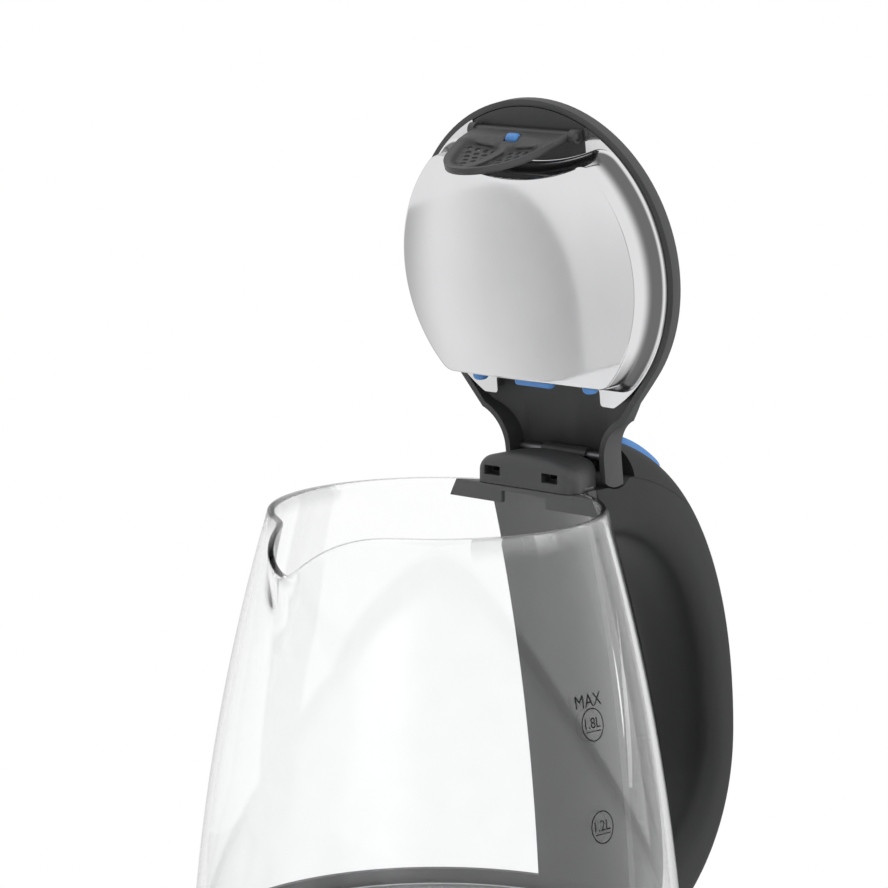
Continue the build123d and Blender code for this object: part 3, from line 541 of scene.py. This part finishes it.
def seam_line(finish):
    """1 on the handle's seam, 0 beside it."""
    x = finish.node("ShaderNodeSeparateXYZ", {}, {0: finish.place}, "X") - SEAM_CENTRE[0]
    z = finish.node("ShaderNodeSeparateXYZ", {}, {0: finish.place}, "Z") - SEAM_CENTRE[1]
    off = ((x * x + z * z).apply("SQRT") - SEAM_RADIUS).apply("ABSOLUTE")
    return 1 - ramp(finish.tree, off, SEAM_WIDTH * 0.5, SEAM_WIDTH * 1.5)


handle_grey = (0.024, 0.0245, 0.0255)
handle_plastic = moulded("handle_plastic", handle_grey, 0.46, specular=0.24, groove=seam_line)
dress(dark_plastic, "handle_spine")
dress(handle_plastic, "handle_body", "handle_top")


# Mouth insert: closes the rim at the handle and carries the hinge block.
# It is moulded with its edges rounded in the tool; its colour is drawn paler than the skirt's as
# painted sheen, for the light falling on its top.
EASED_FROM = radians(35)
INSERT_EASE = 0.0005


def merged(name):
    """A CAD node's mesh with its loose triangles joined and its flat faces whole."""
    made = bmesh.new()
    made.from_mesh(nodes[name].data)
    bmesh.ops.remove_doubles(made, verts=made.verts, dist=0.000002)
    bmesh.ops.dissolve_limit(made, angle_limit=radians(0.5), verts=made.verts, edges=made.edges)
    return made


def from_bmesh(name, made, material, body, crease=30):
    """A finished piece from an edited mesh."""
    mesh = bpy.data.meshes.new(name)
    made.to_mesh(mesh)
    made.free()
    mesh.materials.clear()
    mesh.materials.append(material)
    mesh.polygons.foreach_set("use_smooth", [True] * len(mesh.polygons))
    mesh.set_sharp_from_angle(angle=radians(crease))
    holder = bpy.data.objects.new(name, mesh)
    bpy.context.scene.collection.objects.link(holder)
    return settle(holder, body)


def eased(node, name, width, material, body):
    """A CAD piece with the small edge rounds of a moulding."""
    made = merged(node)
    edges = [
        edge
        for edge in made.edges
        if len(edge.link_faces) == 2 and edge.calc_face_angle() > EASED_FROM
    ]
    bmesh.ops.bevel(
        made,
        geom=edges,
        offset=width,
        segments=3,
        profile=0.5,
        affect="EDGES",
        clamp_overlap=True,
    )
    holder = from_bmesh(name, made, material, body, 40)
    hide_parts(node)
    return holder


# Painted sheen: a paler copy of the dark plastic, standing in for the light on the insert's top.
insert_sheen_plastic = moulded("insert_sheen_plastic", (0.068, 0.0685, 0.07), 0.4)
eased("mouth_insert", "eased_insert", INSERT_EASE, insert_sheen_plastic, "kettle")


# Hinge block: a rounded dark moulding on the insert, arched across, with a knuckle at its back.
# The lid's steel pin runs through the knuckle.
# Two small slots in its front let steam through to the switch.
BLOCK_FRONT = 0.0446
BLOCK_BACK = 0.0648
BLOCK_FRONT_HALF = 0.0222
BLOCK_BACK_HALF = 0.0192
BLOCK_CORNER = 0.0046
BLOCK_BOTTOM = 0.2183
BLOCK_TOP = 0.2300
BLOCK_ARCH = 0.070
BLOCK_ROUND = 0.0042
CORNER_STEPS = 12
SIDE_STEPS = 20
ROUND_STEPS = 12
TOP_STEPS = 9
SLOT_MIDDLES = (0.0140, -0.0122)
SLOT_START = 0.04
SLOT_TOP = 0.2246
SLOT_MOUTH = {"half": 0.0036, "low": 0.2213, "end": 0.0490}
SLOT_THROAT = {"half": 0.0030, "low": 0.2221, "end": 0.0530}
KNUCKLE_HALF = 0.010
KNUCKLE_RADIUS = 0.0025
KNUCKLE_STEPS = 32
WEB_OVERLAP = 0.002
HINGE_X = 0.069
HINGE_Z = 0.228


def arc_line(centre, radius, first, last, steps, outward=1):
    """Points of an arc with their outward normals."""
    line = []
    for step in range(steps):
        turn = first + (last - first) * step / steps
        way = Vector((cos(turn), sin(turn)))
        line.append((Vector(centre) + way * radius, way * outward))
    return line


def block_outline():
    """The block's plan: a rounded oblong that narrows between the lid's ears."""
    front_y, back_y = BLOCK_FRONT_HALF - BLOCK_CORNER, BLOCK_BACK_HALF - BLOCK_CORNER
    front_x, back_x = BLOCK_FRONT + BLOCK_CORNER, BLOCK_BACK - BLOCK_CORNER
    corners = (
        (-90, (back_x, -back_y), (-back_y, back_y)),
        (0, (back_x, back_y), (back_x, front_x)),
        (90, (front_x, front_y), (front_y, -front_y)),
        (180, (front_x, -front_y), (front_x, back_x)),
    )
    line = []
    for turn, centre, (first, last) in corners:
        line += arc_line(centre, BLOCK_CORNER, radians(turn), radians(turn + 90), CORNER_STEPS)
        way = Vector((cos(radians(turn + 90)), sin(radians(turn + 90))))
        for step in range(SIDE_STEPS):
            share = step / SIDE_STEPS
            run = first + (last - first) * share
            if turn in (-90, 90):
                spot = (BLOCK_BACK if turn == -90 else BLOCK_FRONT, run)
            else:
                widening = share if turn == 0 else 1 - share
                side = back_y + (front_y - back_y) * widening + BLOCK_CORNER
                spot = (run, side if turn == 0 else -side)
            line.append((Vector(spot), way))
    return line


def block_arch(y):
    """The height of the block's arched top."""
    return BLOCK_TOP - BLOCK_ARCH + sqrt(BLOCK_ARCH**2 - y * y)


def block_rings():
    """Rings of points up the block's side, over its round and in across its top."""
    line = block_outline()
    middle = Vector(((BLOCK_FRONT + BLOCK_BACK) / 2, 0))
    rings = [[(*spot, BLOCK_BOTTOM) for spot, way in line]]
    for step in range(ROUND_STEPS + 1):
        turn = pi / 2 * step / ROUND_STEPS
        ring = []
        for spot, way in line:
            x, y = spot - way * BLOCK_ROUND * (1 - cos(turn))
            ring.append((x, y, block_arch(y) - BLOCK_ROUND * (1 - sin(turn))))
        rings.append(ring)
    for step in range(1, TOP_STEPS):
        ring = []
        for x, y, z in rings[ROUND_STEPS + 1]:
            x, y = middle + (Vector((x, y)) - middle) * (1 - step / TOP_STEPS)
            ring.append((x, y, block_arch(y)))
        rings.append(ring)
    return rings


def boxed(low, high):
    """Points and outward faces of a box."""
    sides = list(zip(low, high))
    points = [(x, y, z) for x in sides[0] for y in sides[1] for z in sides[2]]
    faces = [(0, 1, 3, 2), (4, 6, 7, 5), (0, 4, 5, 1), (2, 3, 7, 6), (0, 2, 6, 4), (1, 5, 7, 3)]
    return points, faces


def raw_mesh(name, points, faces):
    """A bare mesh for cutting."""
    mesh = bpy.data.meshes.new(name)
    mesh.from_pydata(points, [], faces)
    return mesh


def carved(points, faces, cutters):
    """A mesh with other closed meshes cut out of it."""
    body = bpy.data.objects.new("blank", raw_mesh("blank", points, faces))
    bpy.context.scene.collection.objects.link(body)
    spare = [body]
    for cutter in cutters:
        tool = bpy.data.objects.new("cutter", raw_mesh("cutter", *cutter))
        bpy.context.scene.collection.objects.link(tool)
        spare.append(tool)
        cut = body.modifiers.new("cut", "BOOLEAN")
        cut.object = tool
        cut.operation = "DIFFERENCE"
    seen = body.evaluated_get(bpy.context.evaluated_depsgraph_get())
    result = bpy.data.meshes.new_from_object(seen)
    for item in spare:
        bpy.data.objects.remove(item)
    return result


block_side = block_rings()
ring_size = len(block_side[0])
block_points = [point for ring in block_side for point in ring]
block_faces = ring_faces(len(block_side), ring_size)
block_faces.append(tuple(range(ring_size))[::-1])
block_faces.append(tuple((len(block_side) - 1) * ring_size + spot for spot in range(ring_size)))
slots = []
for middle in SLOT_MIDDLES:
    for part in (SLOT_MOUTH, SLOT_THROAT):
        low = (SLOT_START, middle - part["half"], part["low"])
        slots.append(boxed(low, (part["end"], middle + part["half"], SLOT_TOP)))
block_mesh = carved(block_points, block_faces, slots)
block_make = bmesh.new()
block_make.from_mesh(block_mesh)
knuckle = []
for y in (-KNUCKLE_HALF, KNUCKLE_HALF):
    for step in range(KNUCKLE_STEPS):
        turn = 2 * pi * step / KNUCKLE_STEPS
        spot = (HINGE_X + KNUCKLE_RADIUS * cos(turn), y, HINGE_Z + KNUCKLE_RADIUS * sin(turn))
        knuckle.append(block_make.verts.new(spot))
for face in ring_faces(2, KNUCKLE_STEPS):
    block_make.faces.new([knuckle[corner] for corner in face])
block_make.faces.new(knuckle[:KNUCKLE_STEPS][::-1])
block_make.faces.new(knuckle[KNUCKLE_STEPS:])
web_low = (BLOCK_BACK - WEB_OVERLAP, -KNUCKLE_HALF, HINGE_Z - KNUCKLE_RADIUS)
web_points, web_faces = boxed(web_low, (HINGE_X, KNUCKLE_HALF, HINGE_Z))
web_verts = [block_make.verts.new(point) for point in web_points]
for face in web_faces:
    block_make.faces.new([web_verts[corner] for corner in face])
bmesh.ops.recalc_face_normals(block_make, faces=block_make.faces)
block_piece = from_bmesh("arched_block", block_make, dark_plastic, "kettle", 32)
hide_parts("hinge_block")


# Lid: a dark shell with a liner plate snapped in, and posts for the strainer.
# Both are moulded in the skirt's plastic, and the shell's rim is eased.
LID_EASE = 0.0006
dress(dark_plastic, "lid_liner")
eased("lid_shell", "eased_lid", LID_EASE, dark_plastic, "lid")


# Steel inner cover: pressed from bright stainless sheet, with a drawn dome over the lid's middle.
# The dome's wall flares out to a flange with two tabs and two arms, clamped under the liner's edge.
OPEN_ANGLE = radians(83)
FLANGE_LEVEL = 0.2202
FLANGE_RADIUS = 0.0563
SHEET = 0.0007
TAB_REACH = 0.048
TAB_INNER = 0.0235
FLANGE_CHORD = 0.0418
ARM_INNER = 0.0252
DOME_RADIUS = 0.0537
DOME_CHORD = 0.0396
DOME_END = -0.0350
DOME_HOLLOW = 0.085
DOME_CORNER = 0.008
FACE_DEPTH = 0.0119
FACE_CROWN = 0.0011
FLARE = 0.0091
WALL_SLOPE = radians(84)
FLARE_START = radians(45)
FOOT_START = -0.0026
FOOT_ROUND = 0.001
EDGE_ROUND = 0.0008
FOOT_STEPS, FLARE_STEPS, EDGE_STEPS, FACE_STEPS = 6, 16, 12, 25
ARM_OVERLAP = 0.004
FLANGE_CORNER = 0.0014


def lid_turn(point, angle):
    """Turn a point about the lid's hinge."""
    x, z = point[0] - HINGE_X, point[2] - HINGE_Z
    turned_x = HINGE_X + x * cos(angle) + z * sin(angle)
    return Vector((turned_x, point[1], HINGE_Z - x * sin(angle) + z * cos(angle)))


def dome_outline():
    """The dome's plan at its root: a chord, two big arcs, a hollow end and rounded corners."""
    inner = DOME_RADIUS - DOME_CORNER
    chord_x = DOME_CHORD - DOME_CORNER
    chord_y = sqrt(inner**2 - chord_x**2)
    hollow_x = DOME_END - DOME_HOLLOW
    end_x = ((DOME_HOLLOW + DOME_CORNER) ** 2 - hollow_x**2 - inner**2) / (-2 * hollow_x)
    end_y = sqrt(inner**2 - end_x**2)
    big_first = atan2(chord_y, chord_x)
    big_last = atan2(end_y, end_x)
    hollow_turn = atan2(end_y, end_x - hollow_x)
    line = []
    for step in range(40):
        spot = Vector((DOME_CHORD, -chord_y + 2 * chord_y * step / 40))
        line.append((spot, Vector((1, 0))))
    line += arc_line((chord_x, chord_y), DOME_CORNER, 0, big_first, 24)
    line += arc_line((0, 0), DOME_RADIUS, big_first, big_last, 90)
    line += arc_line((end_x, end_y), DOME_CORNER, big_last, pi + hollow_turn, 24)
    line += arc_line((hollow_x, 0), DOME_HOLLOW, hollow_turn, -hollow_turn, 60, -1)
    line += arc_line((end_x, -end_y), DOME_CORNER, pi - hollow_turn, 2 * pi - big_last, 24)
    line += arc_line((0, 0), DOME_RADIUS, -big_last, -big_first, 90)
    line += arc_line((chord_x, -chord_y), DOME_CORNER, -big_first, 0, 24)
    return line


def dome_profile():
    """Inset from the plan and depth below the flange: foot, flare, wall, then the face's edge."""
    steps = []
    for step in range(FOOT_STEPS):
        slope = FLARE_START * step / FOOT_STEPS
        steps.append((FOOT_START + FOOT_ROUND * sin(slope), FOOT_ROUND * (1 - cos(slope))))
    base = (FOOT_START + FOOT_ROUND * sin(FLARE_START), FOOT_ROUND * (1 - cos(FLARE_START)))
    for step in range(FLARE_STEPS + 1):
        slope = FLARE_START + (WALL_SLOPE - FLARE_START) * step / FLARE_STEPS
        inset = base[0] + FLARE * (sin(slope) - sin(FLARE_START))
        steps.append((inset, base[1] + FLARE * (cos(FLARE_START) - cos(slope))))
    wall_top = FACE_DEPTH - EDGE_ROUND * (1 - cos(WALL_SLOPE))
    wall_run = (wall_top - steps[-1][1]) / tan(WALL_SLOPE)
    centre = steps[-1][0] + wall_run + EDGE_ROUND * sin(WALL_SLOPE)
    for step in range(EDGE_STEPS + 1):
        slope = WALL_SLOPE * (1 - step / EDGE_STEPS)
        steps.append((centre - EDGE_ROUND * sin(slope), FACE_DEPTH - EDGE_ROUND * (1 - cos(slope))))
    return steps


def face_rise(x, y):
    """How far the face is crowned at a spot."""
    return FACE_CROWN * (1 - min(1.0, hypot(x, y) / DOME_RADIUS) ** 3)


def dome_shell(thick):
    """Rings of the drawn dome, pulled in by a thickness, with a slightly crowned face."""
    steps = dome_profile()
    rings = []
    for inset, depth in steps:
        ring = []
        for spot, way in outline:
            edge = spot - way * steps[-1][0]
            deep = depth * (1 + face_rise(*edge) / FACE_DEPTH)
            ring.append((*(spot - way * (inset + thick)), max(0.0, deep - thick)))
        rings.append(ring)
    for step in range(1, FACE_STEPS):
        shrink = 1 - step / FACE_STEPS
        ring = [(x * shrink, y * shrink) for x, y, depth in rings[len(steps) - 1]]
        rings.append([(x, y, FACE_DEPTH - thick + face_rise(x, y)) for x, y in ring])
    return rings


outline = dome_outline()
points, faces = [], []
for thick, flip in ((0.0, False), (SHEET, True)):
    rings = dome_shell(thick)
    start = len(points)
    for ring in rings:
        points += [lid_turn((x, y, FLANGE_LEVEL - depth), OPEN_ANGLE) for x, y, depth in ring]
    last_ring = (len(rings) - 1) * len(outline)
    sheet = ring_faces(len(rings), len(outline))
    sheet.append(tuple(last_ring + spot for spot in range(len(outline))))
    for face in sheet:
        face = tuple(start + corner for corner in face)
        faces.append(face if flip else face[::-1])
inner_start = len(points) // 2
for spot in range(len(outline)):
    after = (spot + 1) % len(outline)
    faces.append((spot, after, inner_start + after, inner_start + spot))


def softened(corners, radius):
    """Cut each corner of a flat outline to a small curve."""
    line = []
    for index, corner in enumerate(corners):
        here = Vector(corner)
        before = Vector(corners[index - 1]) - here
        after = Vector(corners[(index + 1) % len(corners)]) - here
        cut = min(radius, before.length / 3, after.length / 3)
        first, last = here + before.normalized() * cut, here + after.normalized() * cut
        for step in range(5):
            share = step / 4
            bend = here * (2 * share * (1 - share))
            line.append(first * (1 - share) ** 2 + bend + last * share**2)
    return line


def flange_half(side):
    """One half of the flange's edge, from the chord round a tab, the rim and an arm."""
    tab_y = sqrt(FLANGE_RADIUS**2 - TAB_REACH**2)
    arm_x = -sqrt(FLANGE_RADIUS**2 - ARM_INNER**2)
    first, last = atan2(tab_y, TAB_REACH), atan2(ARM_INNER, arm_x)
    line = [(FLANGE_CHORD, TAB_INNER), (TAB_REACH, TAB_INNER), (TAB_REACH, tab_y)]
    for step in range(1, 80):
        turn = first + (last - first) * step / 80
        line.append((FLANGE_RADIUS * cos(turn), FLANGE_RADIUS * sin(turn)))
    line += [(arm_x, ARM_INNER), (DOME_END + ARM_OVERLAP, ARM_INNER)]
    return [(x, side * y) for x, y in line]


edge = softened(flange_half(1) + flange_half(-1)[::-1], FLANGE_CORNER)
start = len(points)
for depth in (0.0, -SHEET):
    points += [lid_turn((x, y, FLANGE_LEVEL - depth), OPEN_ANGLE) for x, y in edge]
for face in ring_faces(2, len(edge)):
    faces.append(tuple(start + corner for corner in face)[::-1])
faces.append(tuple(start + spot for spot in range(len(edge))[::-1]))
faces.append(tuple(start + len(edge) + spot for spot in range(len(edge))))


def reach_along(tree, place, way):
    """How far a place lies along a direction."""
    sockets = {0: place, 1: way}
    return add_node(tree, "ShaderNodeVectorMath", {"operation": "DOT_PRODUCT"}, sockets, "Value")


def mill_and_shade_root(finish):
    """1 in the hollow round the dome's foot, where the polishing wheel doesn't reach: rougher
    there, and darkened as painted shade.
    """
    way = Vector((sin(OPEN_ANGLE), 0, cos(OPEN_ANGLE)))
    level = FLANGE_LEVEL - HINGE_Z + way.dot(Vector((HINGE_X, 0, HINGE_Z)))
    depth = level - reach_along(finish.tree, finish.place, way)
    start = ramp(finish.tree, depth, 0.0003, 0.0010)
    return start * (1 - ramp(finish.tree, depth, 0.0036, 0.0086))


steel_grey = (0.74, 0.74, 0.75)
roll_lines = (1, 1, 0.02)
# The hollow round the dome's foot is darkened here as painted shade.
bright_steel = metal("polished_steel", steel_grey, 0.025, 0.02, roll_lines, 0.0000005, mill_and_shade_root)
cover = piece("pressed_cover", points, faces, bright_steel, "lid", 30)
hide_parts("lid_cover")


# Plugs and pad: soft blue stoppers pressed in along the cover's lower edge, and the strainer's peg.
# They share their blue plastic with the button and the switch.
PLUG_EASE = 0.0016
PAD_EASE = 0.0012
blue_plastic = moulded("blue_plastic", (0.080, 0.262, 0.631), 0.36, 0.00002)
dress(blue_plastic, "strainer_peg")
stoppers = (("lid_plug_left", PLUG_EASE), ("lid_plug_right", PLUG_EASE), ("lid_pad", PAD_EASE))
for name, width in stoppers:
    eased(name, "eased_" + name, width, blue_plastic, "lid")


# Strainer: a thin dark flap with two pierced windows, moulded with trunnions that hang in the
# liner's posts. Its pierced part is dished, so that the drops run to the middle.
STRAINER_PIVOT = Vector((-0.0475, 0, 0.218))
STRAINER_LEAN = radians(10.7)
DISH_DEPTH = 0.0026
DISH_HALF_WIDTH = 0.0205
DISH_TOP = 0.006
DISH_MIDDLE = 0.015
DISH_HALF_LENGTH = 0.021
FLAP_EDGES = (0.012, 0.006, 0.003)


def dished(point):
    """Press a point of the open flap down by the dish's depth there."""
    shut = lid_turn(point, -OPEN_ANGLE)
    way = shut - STRAINER_PIVOT
    down = way.x * sin(STRAINER_LEAN) - way.z * cos(STRAINER_LEAN)
    wide = (way.y / DISH_HALF_WIDTH) ** 2
    half_length = DISH_MIDDLE - DISH_TOP if down < DISH_MIDDLE else DISH_HALF_LENGTH
    long = ((down - DISH_MIDDLE) / half_length) ** 2
    press = DISH_DEPTH * max(0.0, 1 - wide - long)
    shut += Vector((cos(STRAINER_LEAN), 0, sin(STRAINER_LEAN))) * press
    return lid_turn(shut, OPEN_ANGLE)


flap = bmesh.new()
flap.from_mesh(nodes["strainer"].data)
bmesh.ops.remove_doubles(flap, verts=flap.verts, dist=0.000002)
for longest in FLAP_EDGES:
    long_edges = [edge for edge in flap.edges if edge.calc_length() > longest]
    bmesh.ops.subdivide_edges(flap, edges=long_edges, cuts=1)
    bmesh.ops.triangulate(flap, faces=flap.faces)
for vert in flap.verts:
    vert.co = dished(vert.co)
flap_mesh = bpy.data.meshes.new("strainer_dish")
flap.to_mesh(flap_mesh)
flap.free()
flap_mesh.materials.clear()
flap_mesh.materials.append(dark_plastic)
flap_mesh.set_sharp_from_angle(angle=radians(30))
flap_piece = bpy.data.objects.new("strainer_dish", flap_mesh)
bpy.context.scene.collection.objects.link(flap_piece)
settle(flap_piece, "strainer")
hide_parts("strainer")


# Controls: the blue release button on the crown, the black latch under it, and the blue power
# switch in the heel. All are mouldings that slide or rock in the handle.
dress(blue_plastic, "release_button", "power_switch")
dress(black_plastic, "latch_slide")


# Studio: a pale floor that fades to white round the kettle, an even white room with two soft
# glows and one soft lamp, and a long lens. Mirrors see the room a little dimmer ahead of the lens.
VIEW_TURN = radians(-48.5)
VIEW_PITCH = radians(9.7)
level_ahead = Vector((-sin(VIEW_TURN), cos(VIEW_TURN), 0))
ahead = level_ahead * cos(VIEW_PITCH) - Vector((0, 0, sin(VIEW_PITCH)))
right = Vector((cos(VIEW_TURN), sin(VIEW_TURN), 0))
up = right.cross(ahead)

lens = bpy.data.cameras.new("camera")
lens.lens = 150
lens.sensor_width = 36
FOCAL_PIXELS = 3700
FRAME_MIDDLE = 444
RIM_PIXEL = (437.5, 506.5)
RIM_DISTANCE = 1.26
rim_right = (RIM_PIXEL[0] - FRAME_MIDDLE) / FOCAL_PIXELS
rim_down = (RIM_PIXEL[1] - FRAME_MIDDLE) / FOCAL_PIXELS
ray = (ahead + right * rim_right - up * rim_down).normalized()
camera = bpy.data.objects.new("camera", lens)
stand = Matrix.Translation(Vector((0, 0, RIM_HEIGHT)) - RIM_DISTANCE * ray)
camera.matrix_world = stand @ Matrix((right, up, -ahead)).transposed().to_4x4()
bpy.context.scene.collection.objects.link(camera)
bpy.context.scene.camera = camera

SIDE_GLOWS = (((0.61, -0.68, 0.41), 1.0), ((0.42, 0.70, 0.57), 1.4))


def lens_shade(tree, forward, sideward):
    """How much dimmer mirrors see what lies ahead of the lens, most of all on its right."""
    return ramp(tree, forward, 0.3, 0.8) * (0.25 + ramp(tree, sideward, -0.2, 0.2) * 0.4)


scene = bpy.context.scene
scene.view_settings.view_transform = "Standard"
room = bpy.data.worlds.new("studio_room")
room.use_nodes = True
scene.world = room
tree = room.node_tree
tree.nodes.clear()
heading = add_node(tree, "ShaderNodeTexCoord", {}, {}, "Generated")
facing = reach_along(tree, heading, ahead)
sideways = reach_along(tree, heading, right)
height = add_node(tree, "ShaderNodeSeparateXYZ", {}, {0: heading}, 2)
rays = tree.nodes.new("ShaderNodeLightPath").outputs
mirrored = Wire(tree, rays["Is Glossy Ray"])
through = Wire(tree, rays["Is Transmission Ray"])
plain = 0.45 + ramp(tree, height, 0.1, 0.8) * 0.35
for way, strength in SIDE_GLOWS:
    plain = plain + ramp(tree, reach_along(tree, heading, way), 0.8, 0.97) * strength
gloss = 1 - lens_shade(tree, facing, sideways)
clear = 0.92 + ramp(tree, facing, 0.6, 0.9) * 0.08
level = plain * (1 - mirrored) + gloss * mirrored
level = level * (1 - through) + clear * through
level = level.apply("MAXIMUM", Wire(tree, rays["Is Camera Ray"]))
glow = add_node(tree, "ShaderNodeBackground", {}, {"Color": (1, 1, 1, 1), "Strength": level})
out = tree.nodes.new("ShaderNodeOutputWorld")
tree.links.new(glow.socket, out.inputs["Surface"])

FLOOR_HALF = 40.0
FADE_START, FADE_END = 0.16, 0.27
floor_mesh = bpy.data.meshes.new("floor")
corners = ((-1, -1), (1, -1), (1, 1), (-1, 1))
corners = [(FLOOR_HALF * x, FLOOR_HALF * y, 0) for x, y in corners]
floor_mesh.from_pydata(corners, [], [(0, 1, 2, 3)])
floor = bpy.data.objects.new("floor", floor_mesh)
scene.collection.objects.link(floor)
paper = Finish("floor_paper", {"Base Color": (0.82, 0.82, 0.82, 1.0), "Roughness": 0.9})
paper_rays = paper.tree.nodes.new("ShaderNodeLightPath").outputs
lit = Wire(paper.tree, paper_rays["Is Diffuse Ray"])
mirrored = Wire(paper.tree, paper_rays["Is Glossy Ray"])
through = Wire(paper.tree, paper_rays["Is Transmission Ray"])
distance = paper.node("ShaderNodeVectorMath", {"operation": "LENGTH"}, {0: paper.place}, "Value")
forward = reach_along(paper.tree, paper.place, level_ahead) / distance
rightward = reach_along(paper.tree, paper.place, right) / distance
west = paper.node("ShaderNodeSeparateXYZ", {}, {0: paper.place}, "X") / distance
left = ramp(paper.tree, rightward, -0.5, -0.9) * (1 - ramp(paper.tree, distance, 0.7, 1.3))
dim = lens_shade(paper.tree, forward, rightward)
dim = dim.apply("MAXIMUM", ramp(paper.tree, west, -0.94, -0.99) * 0.6)
dim = dim.apply("MAXIMUM", left * 0.22)
glow_level = 1 - dim * mirrored * (1 - through)
bright = paper.node("ShaderNodeEmission", {}, {"Color": (1, 1, 1, 1), "Strength": glow_level})
share = ramp(paper.tree, distance, FADE_START, FADE_END).apply("MAXIMUM", through) * (1 - lit)
matte = Wire(paper.tree, paper.shader.outputs[0])
mixed = paper.node("ShaderNodeMixShader", {}, {0: share, 1: matte, 2: bright})
paper.tree.links.new(mixed.socket, paper.tree.nodes["Material Output"].inputs["Surface"])
floor_mesh.materials.append(paper.material)

# Cards: a grey one lies on the floor where the open lid's steel mirrors it, and a bright strip
# lies far right, where the glass mirrors it as a tapered streak. Both show in reflections alone.
CARD_WAY = Vector((-0.725, 0.689, 0))
CARD_SIDE = Vector((0.689, 0.725, 0))
CARD_RISE = 0.0004
CARD_CORNER = 0.05
CARD_LINE = (
    (0.30, -0.026), (0.586, -0.036), (0.687, -0.043), (0.80, -0.050), (0.95, -0.053),
    (1.08, -0.046), (1.17, -0.033), (1.234, -0.012), (1.25, 0.01), (1.25, 0.45), (0.30, 0.45),
)
STRIP_LINE = (
    (1.30, -0.66), (2.74, -0.85), (4.8, -1.20), (10.0, -1.3),
    (10.0, -1.9), (4.8, -1.65), (2.74, -1.20), (1.40, -0.80),
)


def reflector(name, line, finish, strength):
    """A flat glowing card just above the floor."""
    mesh = bpy.data.meshes.new(name)
    mesh.from_pydata([(x, y, CARD_RISE) for x, y in line], [], [tuple(range(len(line)))])
    made = bpy.data.objects.new(name, mesh)
    scene.collection.objects.link(made)
    made.visible_camera = False
    made.visible_diffuse = False
    made.visible_transmission = False
    made.visible_shadow = False
    glow = finish.node("ShaderNodeEmission", {}, {"Strength": strength})
    finish.tree.links.new(glow.socket, finish.tree.nodes["Material Output"].inputs["Surface"])
    mesh.materials.append(finish.material)


grey = Finish("card_grey", {"Roughness": 0.9})
across = reach_along(grey.tree, grey.place, CARD_SIDE)
card_line = [(CARD_WAY * along + CARD_SIDE * side).xy for along, side in CARD_LINE]
card_level = 0.52 + ramp(grey.tree, across, -0.07, 0.105) * 0.44
card_level = card_level - ramp(grey.tree, across, 0.11, 0.2) * 0.4
reflector("grey_card", softened(card_line, CARD_CORNER), grey, card_level)
strip = Finish("card_strip", {"Roughness": 0.9})
reach = strip.node("ShaderNodeVectorMath", {"operation": "LENGTH"}, {0: strip.place}, "Value")
reflector("bright_strip", STRIP_LINE, strip, 3.2 - ramp(strip.tree, reach, 3.0, 10.0) * 1.6)


LAMP_PLACE = Vector((-0.3, -1.2, 1.3))
LAMP_TARGET = Vector((0, 0, 0.2))
light = bpy.data.lights.new("key_lamp", "AREA")
light.size = 0.8
light.energy = 8
lamp = bpy.data.objects.new("key_lamp", light)
lamp.location = LAMP_PLACE
lamp.rotation_euler = (LAMP_TARGET - LAMP_PLACE).to_track_quat("-Z", "Y").to_euler()
lamp.visible_glossy = False
scene.collection.objects.link(lamp)
